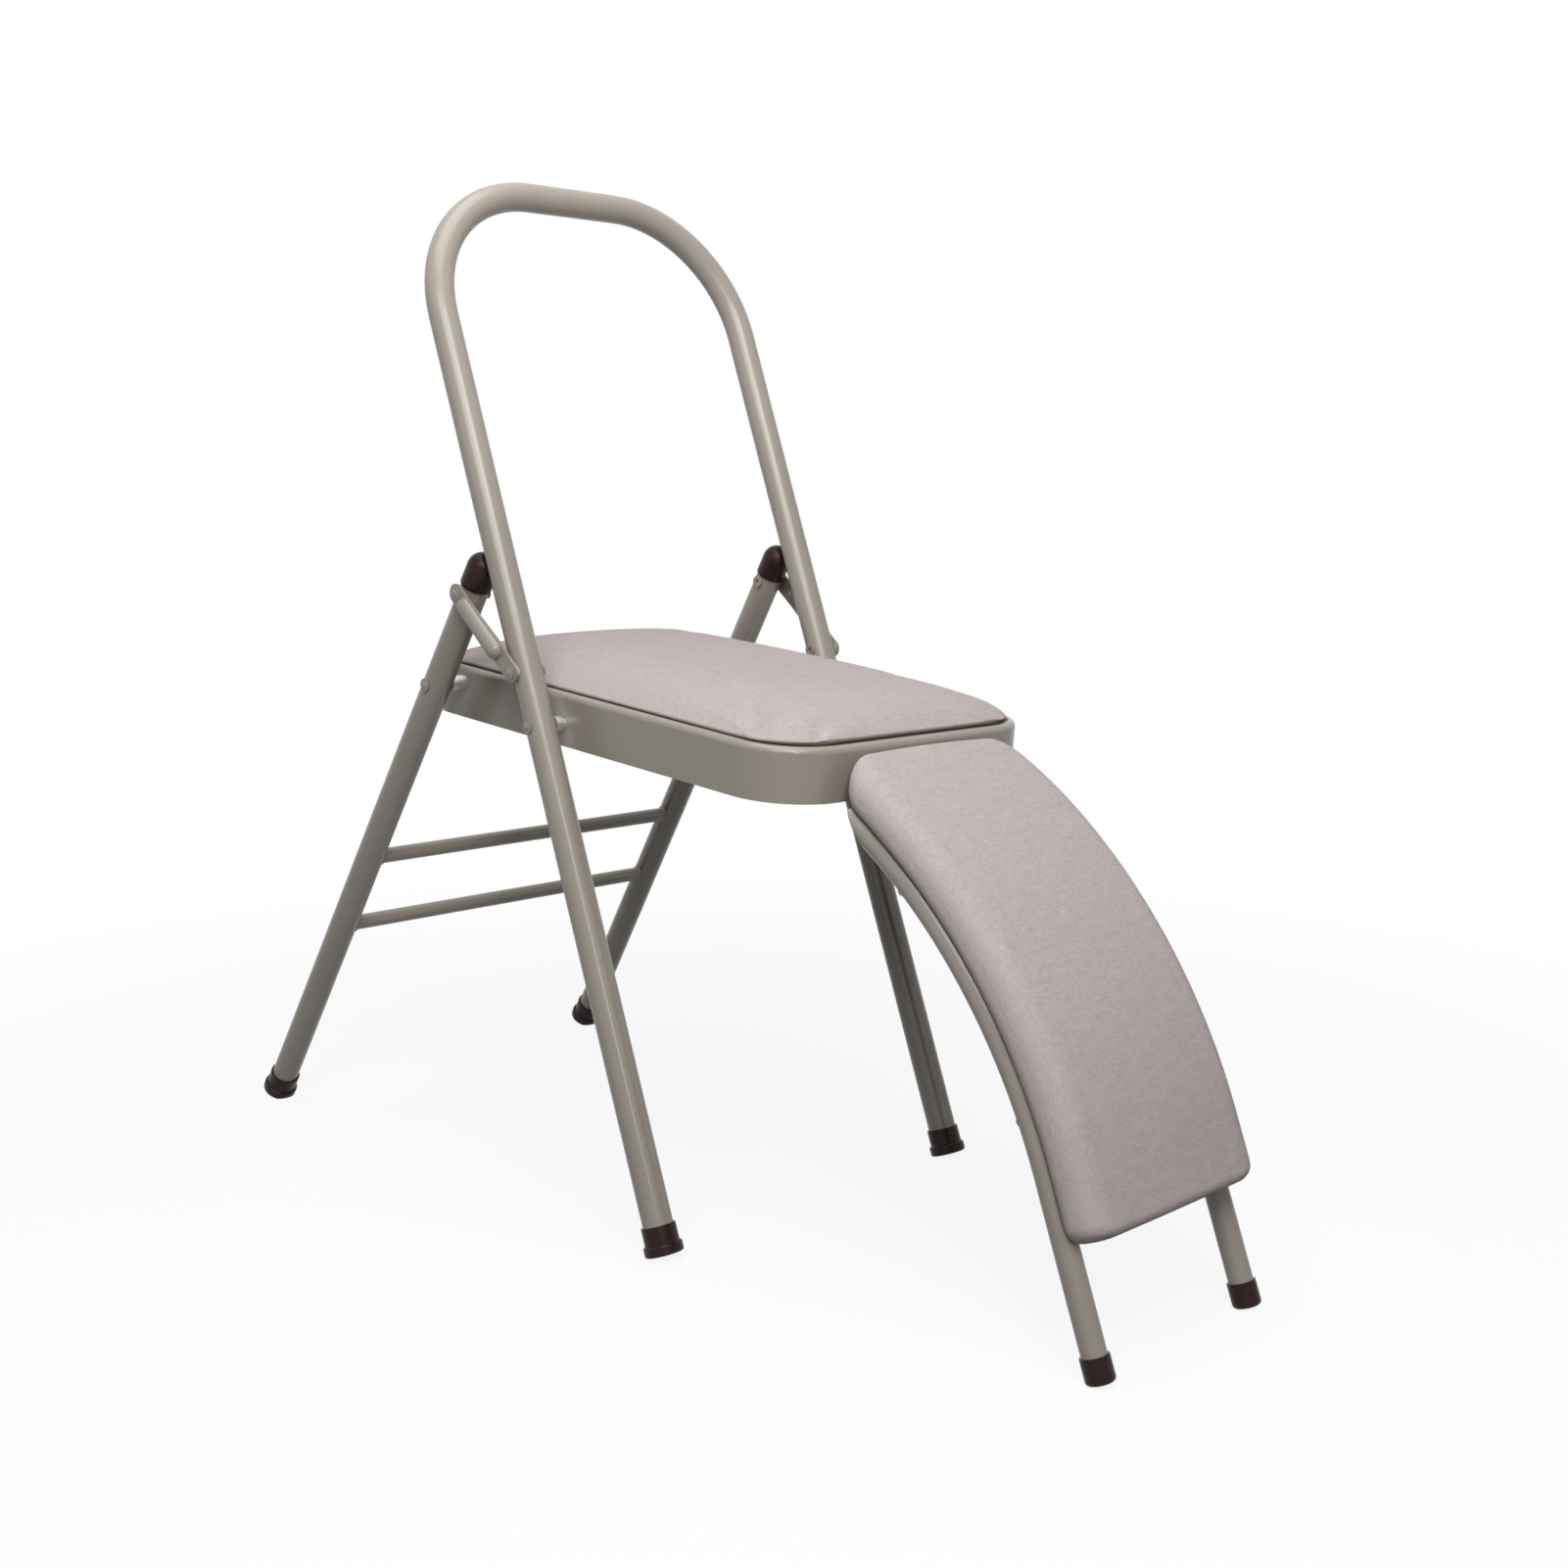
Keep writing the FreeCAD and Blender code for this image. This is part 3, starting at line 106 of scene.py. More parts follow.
# Softboxes: name, place, target, width, height, and the setting that holds the power
SOFTBOXES = (
    ("overhead_softbox", (-0.2, 0.0, 2.2), (0.0, 0.05, 0.4), 1.4, 1.4, "top"),
    ("near_softbox", (-1.40, -1.0, 1.75), (0.0, 0.0, 0.5), 1.0, 1.0, "side"),
    ("front_softbox", (-0.7, -1.6, 2.1), (0.0, 0.0, 0.5), 0.8, 0.8, "front"),
    ("strip_softbox", (-1.13, -1.8, 1.45), (-0.17, 0.0, 0.5), 0.11, 1.8, "strip"),
)
SPOT_PLACE, SPOT_TARGET = (-1.0, -1.7, 1.15), (-0.02, 0.2, 0.87)
SPOT_ANGLE = math.radians(20.0)
SPOT_SOFTNESS = 0.12
SENSOR_WIDTH = 36.0
FLOOR_REACH = 12.0
FLOOR_SHADING = (("From Min", 0.55), ("From Max", 1.5), ("To Min", 0.11), ("To Max", 0.0))


def length(name, description, default):
    return FloatProperty(name=name, description=description, default=default, unit="LENGTH", precision=4)


def colour(name, description, default):
    return FloatVectorProperty(name=name, description=description, default=default, size=3,
                               subtype="COLOR", min=0.0, max=1.0)


def degrees(name, description, default):
    return FloatProperty(name=name, description=description, default=math.radians(default), subtype="ANGLE")


def power(name, description, default):
    return FloatProperty(name=name, description=description, default=default, unit="POWER")


class FinishSettings(bpy.types.PropertyGroup):
    """Colours and gloss of the chair's finishes."""
    paint: colour("Paint", "Taupe powder coat of the steel", (0.325, 0.290, 0.246))
    paint_gloss: FloatProperty(name="Paint roughness", description="Roughness of the powder coat",
                               default=0.34, min=0.0, max=1.0)
    cloth_pale: colour("Cloth, pale yarn", "Lighter yarn of the heathered cover", (0.575, 0.510, 0.500))
    cloth_deep: colour("Cloth, deep yarn", "Darker yarn of the heathered cover", (0.455, 0.398, 0.388))
    yarn: length("Yarn pitch", "Distance between yarns of the cover", 0.0011)
    rubber: colour("Caps", "Dark brown moulded caps", (0.025, 0.0108, 0.0098))
    bead: length("Weld bead", "Radius of the weld beads on the cross tubes", 0.0014)
    zinc: colour("Zinc", "Bright plated spacers and screws", (0.66, 0.65, 0.63))
    # The boards' colour is the plywood's stain and also painted shade: it makes the seam round the seat
    # cushion dark
    ply_and_seam_shade: colour("Plywood", "Stained boards under the pads", (0.10, 0.070, 0.048))


class SeatSettings(bpy.types.PropertyGroup):
    """Size and fullness of the seat cushion."""
    slope: degrees("Slope", "The seat rises to the rear", 5.0)
    half: length("Half width", "Centre plane to the cushion's side", 0.1388)
    front: length("Front", "Seat pivot to the cushion's front", 0.2638)
    rear: length("Rear", "Seat pivot to the cushion's rear", 0.1968)
    front_corner: length("Front corners", "Plan radius of the front corners", 0.0488)
    rear_corner: length("Rear corners", "Plan radius of the rear corners", 0.0268)
    base: length("Base", "Seat pivot up to the underside of the cushion", 0.0250)
    edge: length("Edge", "Height of the cushion's tucked edge", 0.0016)
    crown: length("Crown", "Height of the cushion over its edge, before it swells", 0.0248)
    shoulder: length("Shoulder", "Edge to the level part of the crown, in plan", 0.066)
    swell: length("Swell limit", "Furthest that the cloth may move as it fills", 0.0034)


class ArcSettings(bpy.types.PropertyGroup):
    """Size and fullness of the arc pad."""
    reach: length("Hook reach", "End of an arc tube to the hook rail", 0.026)
    lean: degrees("Lean", "Lean of the straight lower ends", 20.669)
    turn: degrees("Turn", "Turn of the bend", 35.83)
    bend: length("Bend radius", "Bend radius of the arc tubes", 0.4422)
    back: length("Back", "Tube axis to the back of the pad", 0.0098)
    thick: length("Thickness", "Pad with its board, before it swells", 0.0290)
    half: length("Half width", "Half width of the pad, before it swells", 0.1003)
    below: length("Below", "Start of the bend down to the pad's lower edge", 0.0494)
    past: length("Past", "End of the tubes up to the pad's upper edge, along the bend", 0.0380)
    slant: length("Slant", "Upper edge of the front beyond the upper edge of the back", 0.0175)
    corner: length("Upper corners", "Radius of the pad's two upper corners", 0.021)
    low_corner: length("Lower corners", "Radius of the pad's two lower corners", 0.014)
    round: length("Side rounding", "Rounding of the pad's front along its sides", 0.0205)
    end_round: length("End rounding", "Rounding of the pad's front at its two ends", 0.0085)
    tuck: length("Tuck", "Rounding of the pad's back edge, where the cloth turns under", 0.0055)
    nip: length("Nip", "How far the pad narrows at its upper end", 0.0035)
    lip: length("Lip", "Cloth folded round the board's edge", 0.0067)
    pocket: length("Pocket", "Depth of the board in the pad", 0.0064)
    swell: length("Swell limit", "Furthest that the cloth may move as it fills", 0.003)


class StudioSettings(bpy.types.PropertyGroup):
    """Camera and light."""
    camera: FloatVectorProperty(name="Camera", description="Place of the camera", size=3,
                                subtype="TRANSLATION", default=(-1.0532, -1.1897, 0.5955))
    azimuth: degrees("Azimuth", "Turn of the camera round the chair", -43.1802)
    elevation: degrees("Elevation", "Camera above the horizon", 8.7366)
    lens: FloatProperty(name="Focal length", description="Focal length of the camera, in millimetres",
                        default=42.375, unit="CAMERA")
    top: power("Top light", "Power of the softbox overhead", 17.0)
    side: power("Side light", "Power of the softbox at the near side", 17.0)
    front: power("Front light", "Power of the softbox at the front", 13.0)
    strip: power("Strip light", "Power of the tall strip beside the camera", 11.0)
    hoop: power("Hoop light", "Power of the spot on the back hoop", 55.0)
    ambient: FloatProperty(name="Ambient", description="Strength of the light from all round", default=0.075)
    frames: IntProperty(name="Filling steps", description="Steps of the cloth as the pads fill",
                        default=20, min=2)


def settings():
    return bpy.context.scene.yoga_chair


# Materials

class Finish:
    """A node material that is being put together."""

    def __init__(self, name, roughness, metallic=0.0):
        self.material = bpy.data.materials.new(name)
        self.material.use_nodes = True
        self.tree = self.material.node_tree
        self.shader = self.tree.nodes["Principled BSDF"]
        self.shader.inputs["Roughness"].default_value = roughness
        self.shader.inputs["Metallic"].default_value = metallic
        self.place = self.tree.nodes.new("ShaderNodeTexCoord").outputs["Object"]

    def node(self, kind, links=(), values=(), **fields):
        made = self.tree.nodes.new(kind)
        for field, value in fields.items():
            setattr(made, field, value)
        for socket, value in values:
            made.inputs[socket].default_value = value
        for socket, source in links:
            self.tree.links.new(source, made.inputs[socket])
        return made

    def noise(self, scale, detail=2.0, roughness=0.5, place=None):
        made = self.node("ShaderNodeTexNoise", [("Vector", place or self.place)],
                         [("Scale", scale), ("Detail", detail), ("Roughness", roughness)])
        return made.outputs["Fac"]

    def spread(self, source, low, high, start=0.3, end=0.7):
        made = self.node("ShaderNodeMapRange", [("Value", source)],
                         [("From Min", start), ("From Max", end), ("To Min", low), ("To Max", high)])
        return made.outputs["Result"]

    def calculate(self, operation, first, second):
        made = self.node("ShaderNodeMath", operation=operation)
        for socket, value in zip(made.inputs, (first, second)):
            if isinstance(value, bpy.types.NodeSocket):
                self.tree.links.new(value, socket)
            else:
                socket.default_value = value
        return made.outputs["Value"]

    def mix(self, factor, first, second):
        made = self.node("ShaderNodeMix", [("Factor", factor)], data_type="RGBA")
        for socket, value in ((made.inputs[6], first), (made.inputs[7], second)):
            if isinstance(value, bpy.types.NodeSocket):
                self.tree.links.new(value, socket)
            else:
                socket.default_value = (*value, 1.0)
        return made.outputs[2]

    def colour(self, source):
        self.tree.links.new(source, self.shader.inputs["Base Color"])

    def roughness(self, source):
        self.tree.links.new(source, self.shader.inputs["Roughness"])

    def bump(self, height, strength, distance):
        made = self.node("ShaderNodeBump", [("Height", height)],
                         [("Strength", strength), ("Distance", distance)])
        self.tree.links.new(made.outputs["Normal"], self.shader.inputs["Normal"])

    def set(self, **values):
        for socket, value in values.items():
            self.shader.inputs[socket.replace("_", " ")].default_value = value

    def give(self, *objects):
        for obj in objects:
            obj.data.materials.clear()
            obj.data.materials.append(self.material)


def tinted(rgb, factor):
    return tuple(min(1.0, channel * factor) for channel in rgb)


def paint_finish():
    """Satin powder coat with fine specks and a little drift of tone and gloss."""
    look = settings().finish
    gloss = look.paint_gloss
    finish = Finish("taupe_powder_coat", gloss)
    drift = finish.spread(finish.noise(scale=5.0, detail=3.0), low=0.0, high=1.0)
    speck = finish.spread(finish.noise(scale=700.0, detail=1.0), low=0.0, high=0.10, start=0.45, end=0.75)
    tone = finish.mix(drift, tinted(look.paint, 0.95), tinted(look.paint, 1.05))
    finish.colour(finish.mix(speck, tone, tinted(look.paint, 0.8)))
    patches = finish.noise(scale=38.0, detail=4.0)
    finish.roughness(finish.spread(patches, low=gloss - 0.05, high=gloss + 0.07))
    finish.set(Coat_Weight=0.26, Coat_Roughness=0.18, Coat_IOR=1.9, Specular_IOR_Level=0.24)
    return finish


def zinc_finish():
    """Bright zinc plate with faint stains and an uneven gloss."""
    look = settings().finish
    finish = Finish("bright_zinc", roughness=0.34, metallic=1.0)
    stain = finish.spread(finish.noise(scale=90.0, detail=3.0), low=0.0, high=1.0)
    finish.colour(finish.mix(stain, tinted(look.zinc, 0.88), look.zinc))
    finish.roughness(finish.spread(finish.noise(scale=240.0, detail=3.0), low=0.38, high=0.52))
    finish.bump(finish.noise(scale=900.0), strength=0.03, distance=0.0002)
    return finish


def rubber_finish():
    """Dark brown moulding with a fine grain, dusty where it is scuffed."""
    look = settings().finish
    finish = Finish("brown_moulded_caps", roughness=0.30)
    wear = finish.noise(scale=130.0, detail=5.0, roughness=0.62)
    scuff = finish.spread(wear, low=0.0, high=0.35, start=0.5, end=0.85)
    finish.colour(finish.mix(scuff, look.rubber, tinted(look.rubber, 2.4)))
    finish.roughness(finish.spread(finish.noise(scale=55.0, detail=3.0), low=0.24, high=0.36))
    finish.bump(finish.noise(scale=1500.0), strength=0.06, distance=0.0003)
    finish.set(Specular_IOR_Level=0.16)
    return finish


def ply_and_seam_shade_finish():
    """Plywood with long grain, stained dark; the dark tone is also painted shade for the seam round the seat
    cushion, where the board shows.
    """
    look = settings().finish
    finish = Finish("stained_plywood", roughness=0.62)
    stretch = finish.node("ShaderNodeMapping", [("Vector", finish.place)], [("Scale", (1.0, 0.09, 0.09))])
    grain = finish.noise(scale=210.0, detail=6.0, roughness=0.6, place=stretch.outputs["Vector"])
    streaks = finish.spread(grain, low=0.0, high=1.0)
    # Painted shade: the board's dark tone darkens the seam between the cushion and the seat's rim
    finish.colour(finish.mix(streaks, tinted(look.ply_and_seam_shade, 0.62), tinted(look.ply_and_seam_shade, 1.25)))
    finish.roughness(finish.spread(grain, low=0.52, high=0.72))
    finish.bump(grain, strength=0.2, distance=0.0004)
    return finish


def cloth_finish(name, tilt):
    """Heathered plain weave with painted shade in the gaps between the yarns: tilt lays the weave along the
    piece.
    """
    look = settings().finish
    finish = Finish(name, roughness=0.88)
    lay = finish.node("ShaderNodeMapping", [("Vector", finish.place)], [("Rotation", (tilt, 0.0, 0.0))])
    flat = lay.outputs["Vector"]
    drift = finish.node("ShaderNodeTexNoise", [("Vector", flat)], [("Scale", 260.0), ("Detail", 2.0)])
    wobble = finish.node("ShaderNodeVectorMath", [(0, drift.outputs["Color"])],
                         [(1, (look.yarn * 0.9,) * 3)], operation="MULTIPLY")
    bent = finish.node("ShaderNodeVectorMath", [(0, flat), (1, wobble.outputs[0])], operation="ADD")
    rows = []
    for axis in ("X", "Y"):
        wave = finish.node("ShaderNodeTexWave", [("Vector", bent.outputs[0])],
                           [("Scale", WAVE_SCALE_BY_PITCH / look.yarn)],
                           bands_direction=axis, wave_profile="SIN")
        rows.append(wave.outputs["Fac"])
    weave = finish.calculate("MAXIMUM", rows[0], rows[1])
    across = finish.node("ShaderNodeMapping", [("Vector", flat)], [("Scale", (0.3, 1.0, 1.0))])
    heather = finish.noise(scale=760.0, detail=3.0, roughness=0.6, place=across.outputs["Vector"])
    cloud = finish.noise(scale=210.0, detail=3.0, roughness=0.6, place=across.outputs["Vector"])
    blend = finish.calculate("ADD", finish.calculate("MULTIPLY", heather, 0.7),
                             finish.calculate("MULTIPLY", cloud, 0.3))
    share = finish.spread(blend, low=0.0, high=1.0, start=0.36, end=0.64)
    yarns = finish.mix(share, look.cloth_deep, look.cloth_pale)
    # Painted shade: the low gaps between the yarns are darkened towards a darker tone of the deep yarn
    between = finish.spread(weave, low=0.14, high=0.0, start=0.25, end=0.9)
    finish.colour(finish.mix(between, yarns, tinted(look.cloth_deep, 0.6)))
    height = finish.calculate("ADD", weave, finish.calculate("MULTIPLY", heather, 0.9))
    finish.bump(height, strength=0.26, distance=look.yarn * 0.3)
    finish.set(Sheen_Weight=0.12, Sheen_Roughness=0.55, Specular_IOR_Level=0.15)
    return finish


# Soft pieces

def skin(name, rows, pinned):
    """Closed mesh from rows of points, each a loop of a front run and a back run of the same count."""
    count = len(rows[0])
    half = count // 2
    mesh = bpy.data.meshes.new(name)
    faces = []
    for r in range(len(rows) - 1):
        for c in range(count):
            d = (c + 1) % count
            faces.append((r * count + c, r * count + d, (r + 1) * count + d, (r + 1) * count + c))
    for r, turned in ((0, True), (len(rows) - 1, False)):
        for c in range(half - 1):
            first, last = r * count + c, r * count + count - 1 - c
            loop = (first, first + 1, last - 1, last)
            faces.append(loop[::-1] if turned else loop)
    mesh.from_pydata([tuple(point) for row in rows for point in row], [], faces)
    shape = bmesh.new()
    shape.from_mesh(mesh)
    bmesh.ops.recalc_face_normals(shape, faces=shape.faces)
    shape.to_mesh(mesh)
    shape.free()
    obj = bpy.data.objects.new(name, mesh)
    bpy.context.scene.collection.objects.link(obj)
    held = obj.vertex_groups.new(name="held")
    for r in range(len(rows)):
        held.add([r * count + c for c in pinned], 1.0, "ADD")
    return obj


def fill(obj, limit):
    """Swells a sewn cover with the cloth solver, and keeps each point within limit of where it began."""
    scene = bpy.context.scene
    cloth = obj.modifiers.new("filling", "CLOTH")
    cover = cloth.settings
    cover.quality = 6
    cover.mass = 0.25
    cover.air_damping = 3.0
    cover.tension_stiffness = 22.0
    cover.compression_stiffness = 16.0
    cover.shear_stiffness = 8.0
    cover.bending_stiffness = 0.9
    cover.vertex_group_mass = "held"
    cover.pin_stiffness = 2.0
    cover.use_pressure = True
    cover.uniform_pressure_force = FILL_PRESSURE
    cover.effector_weights.gravity = 0.0
    cloth.collision_settings.use_collision = False
    last = settings().studio.frames
    cloth.point_cache.frame_start = 1
    cloth.point_cache.frame_end = last
    for step in range(1, last + 1):
        scene.frame_set(step)
    filled = obj.evaluated_get(bpy.context.evaluated_depsgraph_get())
    places = [point.co.copy() for point in filled.data.vertices]
    obj.modifiers.remove(cloth)
    for point, place in zip(obj.data.vertices, places):
        move = place - point.co
        if move.length > limit:
            move.length = limit
        point.co += move
    scene.frame_set(1)


def smooth(obj):
    """Shades a cover smooth and rounds its mesh."""
    for face in obj.data.polygons:
        face.use_smooth = True
    rounder = obj.modifiers.new("smooth_cover", "SUBSURF")
    rounder.levels = 1
    rounder.render_levels = 1


def corner_inset(distance, radius):
    """How far a rounded corner draws a side in, at a distance from the end."""
    if distance >= radius:
        return 0.0
    return radius - math.sqrt(max(0.0, radius * radius - (radius - distance) ** 2))


def eased(count, start, end, gather):
    """Numbers from start to end, gathered towards both ends."""
    steps = []
    for k in range(count):
        t = k / (count - 1)
        steps.append(start + (end - start) * (t - gather * math.sin(2 * math.pi * t) / (2 * math.pi)))
    return steps


class CushionForm:
    """Crowned seat cushion in the seat's own frame, before it swells."""

    def __init__(self, size):
        self.size = size
        self.place = Matrix.Translation(SEAT_PIVOT) @ Matrix.Rotation(size.slope, 4, "X")

    def half_at(self, y):
        size = self.size
        front = corner_inset(y + size.front, size.front_corner)
        rear = corner_inset(size.rear - y, size.rear_corner)
        return size.half - max(front, rear)

    def inside(self, x, y):
        """Distance to the edge, rounded off towards the middle so that no ridge runs in from a corner."""
        size = self.size
        if y < 0:
            end, radius = y + size.front, size.front_corner
        else:
            end, radius = size.rear - y, size.rear_corner
        side = size.half - abs(x)
        corner = math.hypot(max(0.0, radius - side), max(0.0, radius - end))
        true = radius - corner if side < radius and end < radius else min(side, end)
        true = max(0.0, true)
        soft = 1.0 / ((1.0 / max(side, 1e-4)) ** 3 + (1.0 / max(end, 1e-4)) ** 3) ** (1.0 / 3.0)
        share = min(1.0, true / CUSHION_BLEND)
        return true + (soft - true) * share * share * (3 - 2 * share)

    def height(self, x, y):
        size = self.size
        share = min(1.0, self.inside(x, y) / size.shoulder)
        rise = 1.0 - (1.0 - share) ** CROWN_POWER
        middle = (size.rear - size.front) / 2
        reach = (size.rear + size.front) / 2
        across = 1.0 - CROWN_FALL_ACROSS * (x / size.half) ** 2
        along = 1.0 - CROWN_FALL_ALONG * ((y - middle) / reach) ** 2
        broad = across * along
        return size.edge + size.crown * rise * broad

    def rows(self):
        """Rows of points from front to rear, and the places in a row that are pinned."""
        size = self.size
        made = []
        for y in eased(CUSHION_ROWS, -size.front, size.rear, CUSHION_GATHER_ALONG):
            half = self.half_at(y)
            xs = eased(CUSHION_COLUMNS, -half, half, CUSHION_GATHER_ACROSS)
            top = [Vector((x, y, size.base + self.height(x, y))) for x in xs]
            low = [Vector((x * CUSHION_UNDERSIDE, y * CUSHION_UNDERSIDE, size.base)) for x in reversed(xs)]
            made.append([self.place @ point for point in top + low])
        return made, range(CUSHION_COLUMNS, 2 * CUSHION_COLUMNS)


def mirrored(run):
    """The same run on the other side, from its far end."""
    return [(-x, proud) for x, proud in reversed(run)]


class PadForm:
    """Curved pad on the arc tubes, before it swells."""

    def __init__(self, size):
        self.size = size
        low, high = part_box("hook_rail")
        rail = ((low[1] + high[1]) / 2, (low[2] + high[2]) / 2)
        steep = size.lean + size.turn
        end = (rail[0] - size.reach * math.sin(steep), rail[1] - size.reach * math.cos(steep))
        self.centre = (end[0] + size.bend * math.cos(steep), end[1] - size.bend * math.sin(steep))
        self.start = -size.below
        self.end = size.bend * size.turn + size.past

    def point(self, x, along, proud):
        """Point beside the tubes: along the bend from its start, and proud of the tube axis."""
        size = self.size
        reach = size.bend + proud
        angle = size.lean + max(0.0, along) / size.bend
        y = self.centre[0] - reach * math.cos(angle)
        z = self.centre[1] + reach * math.sin(angle)
        straight = min(0.0, along)
        return Vector((x, y + straight * math.sin(size.lean), z + straight * math.cos(size.lean)))

    def side(self, half, low, top, tuck, edge):
        """One side of a row, from the tucked back edge up to the face."""
        run = []
        for k in range(PAD_TUCK_STEPS):
            angle = math.pi / 2 * (1 - k / PAD_TUCK_STEPS)
            run.append((-half + tuck * (1 - math.cos(angle)), low + tuck * (1 - math.sin(angle))))
        run.append((-half, (low + tuck + top - edge) / 2))
        for k in range(PAD_ROUND_STEPS):
            angle = math.pi / 2 * k / PAD_ROUND_STEPS
            run.append((-half + edge * (1 - math.cos(angle)), top - edge + edge * math.sin(angle)))
        return run

    def row(self, along):
        """Loop of points across the pad: the front from side to side, then the back with its pocket."""
        size = self.size
        from_start, to_end = along - self.start, self.end - along
        near_end = min(from_start, to_end)
        narrow = max(0.0, 1.0 - to_end / NIP_RUN)
        drawn = max(corner_inset(from_start, size.low_corner), corner_inset(to_end, size.corner))
        half = size.half - drawn - size.nip * narrow * narrow
        top = size.back + size.thick - corner_inset(near_end, size.end_round)
        low = size.back + corner_inset(near_end, size.tuck)
        edge = min(size.round, (top - low) * PAD_ROUND_SHARE)
        tuck = min(size.tuck, (top - low) * PAD_TUCK_SHARE)

        side = self.side(half, low, top, tuck, edge)
        inner = half - edge
        face = [(x, top + PAD_RISE * (1 - (x / inner) ** 2))
                for x in eased(PAD_ACROSS, -inner, inner, PAD_GATHER_ACROSS)]
        front = side + face + mirrored(side)

        deep = size.back + size.pocket if near_end > size.lip else low
        lip = min(half - tuck, size.half - size.lip)
        fold = [(lip, low), (lip, deep)]
        spare = len(front) - 2 * len(fold)
        under = [(x, deep) for x in eased(spare + 2, lip, -lip, PAD_GATHER_ACROSS)[1:-1]]
        back = fold + under + mirrored(fold)

        lean = size.slant * max(0.0, 1.0 - to_end / SLANT_RUN)
        return [self.point(x, along + lean * (proud - size.back) / size.thick, proud)
                for x, proud in front + back]

    def rows(self):
        """Rows of points from the lower end to the upper, and the places in a row that are pinned."""
        made = [self.row(along) for along in eased(PAD_ROWS, self.start, self.end, PAD_GATHER_ALONG)]
        count = len(made[0])
        half_count = count // 2
        return made, [0, half_count - 1, *range(half_count, count)]


# Welds

def weld_edge(node, side):
    """Middle of a cross tube, its radius, and how far out its edge is at each angle round it."""
    low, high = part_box(node)
    middle = Vector((0.0, (low[1] + high[1]) / 2, (low[2] + high[2]) / 2))
    radius = (high[2] - low[2]) / 2
    ring = []
    for vertex in NODES[node].data.vertices:
        up, back = vertex.co.z - middle.z, vertex.co.y - middle.y
        if vertex.co.x * side > 0 and math.hypot(up, back) > radius * WELD_RIM:
            ring.append((math.atan2(up, back), vertex.co.x))
    if len(ring) < 8:
        raise RuntimeError(f"{node} has no round end to weld")
    return middle, radius, sorted(ring)


def reach_at(ring, angle):
    """Distance out along the chair at an angle, between the two nearest points of the ring."""
    turn = 2 * math.pi
    last = (ring[-1][0] - turn, ring[-1][1])
    for here in ring + [(ring[0][0] + turn, ring[0][1])]:
        if angle <= here[0]:
            share = (angle - last[0]) / max(here[0] - last[0], 1e-6)
            return last[1] + (here[1] - last[1]) * share
        last = here
    return last[1]


def weld_bead(shape, node, side, bead):
    """Rippled bead along the edge where a cross tube meets the tube that it is welded to."""
    middle, radius, ring = weld_edge(node, side)
    rows = []
    for step in range(WELD_STEPS):
        angle = -math.pi + 2 * math.pi * step / WELD_STEPS
        spoke = Vector((0.0, math.cos(angle), math.sin(angle)))
        core = middle + spoke * radius + Vector((reach_at(ring, angle), 0.0, 0.0))
        ripple = WELD_RIPPLE * math.sin(WELD_RIPPLE_COUNT * angle)
        waver = WELD_WAVER * math.sin(WELD_WAVER_COUNT * angle + side)
        fat = bead * (1.0 + ripple + waver)
        row = []
        for k in range(WELD_SIDES):
            turn = 2 * math.pi * k / WELD_SIDES
            out = spoke * math.cos(turn) + Vector((math.sin(turn), 0, 0))
            row.append(shape.verts.new(core + out * fat))
        rows.append(row)
    for r in range(WELD_STEPS):
        for k in range(WELD_SIDES):
            n, j = (r + 1) % WELD_STEPS, (k + 1) % WELD_SIDES
            shape.faces.new((rows[r][k], rows[n][k], rows[n][j], rows[r][j])).smooth = True


# Steps for the chair

class YOGA_OT_paint_steel(bpy.types.Operator):
    """Powder coats the tubes, the seat pan, the links and the rivets"""
    bl_idname = "yoga.paint_steel"
    bl_label = "Paint the steel"

    def execute(self, context):
        paint_finish().give(*(NODES[name] for name in PAINTED))
        return {"FINISHED"}


class YOGA_OT_weld_tubes(bpy.types.Operator):
    """Runs weld beads round the ends of the rungs and the arc's cross tubes"""
    bl_idname = "yoga.weld_tubes"
    bl_label = "Weld the cross tubes"

    def execute(self, context):
        bead = settings().finish.bead
        for name, body, cross_tubes in WELDS:
            shape = bmesh.new()
            for node in cross_tubes:
                for side in (-1, 1):
                    weld_bead(shape, node, side, bead)
            bmesh.ops.recalc_face_normals(shape, faces=shape.faces)
            mesh = bpy.data.meshes.new(name)
            shape.to_mesh(mesh)
            shape.free()
            welds = bpy.data.objects.new(name, mesh)
            context.scene.collection.objects.link(welds)
            mesh.materials.append(NODES[cross_tubes[0]].data.materials[0])
            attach(welds, body)
        return {"FINISHED"}


class YOGA_OT_plate_hardware(bpy.types.Operator):
    """Zinc plates the spacers, washers and screws"""
    bl_idname = "yoga.plate_hardware"
    bl_label = "Plate the hardware"

    def execute(self, context):
        zinc_finish().give(*(NODES[name] for name in PLATED))
        return {"FINISHED"}


class YOGA_OT_mould_caps(bpy.types.Operator):
    """Gives the feet and the bullet caps their brown moulding"""
    bl_idname = "yoga.mould_caps"
    bl_label = "Mould the caps"

    def execute(self, context):
        rubber_finish().give(*(NODES[name] for name in RUBBER))
        return {"FINISHED"}


class YOGA_OT_stain_boards_and_seam_shade(bpy.types.Operator):
    """Stains the plywood under the pads dark; the dark tone is also painted shade for the seam round the seat
    cushion
    """
    bl_idname = "yoga.stain_boards"
    bl_label = "Stain the boards"

    def execute(self, context):
        ply_and_seam_shade_finish().give(*(NODES[name] for name in BOARDS))
        return {"FINISHED"}


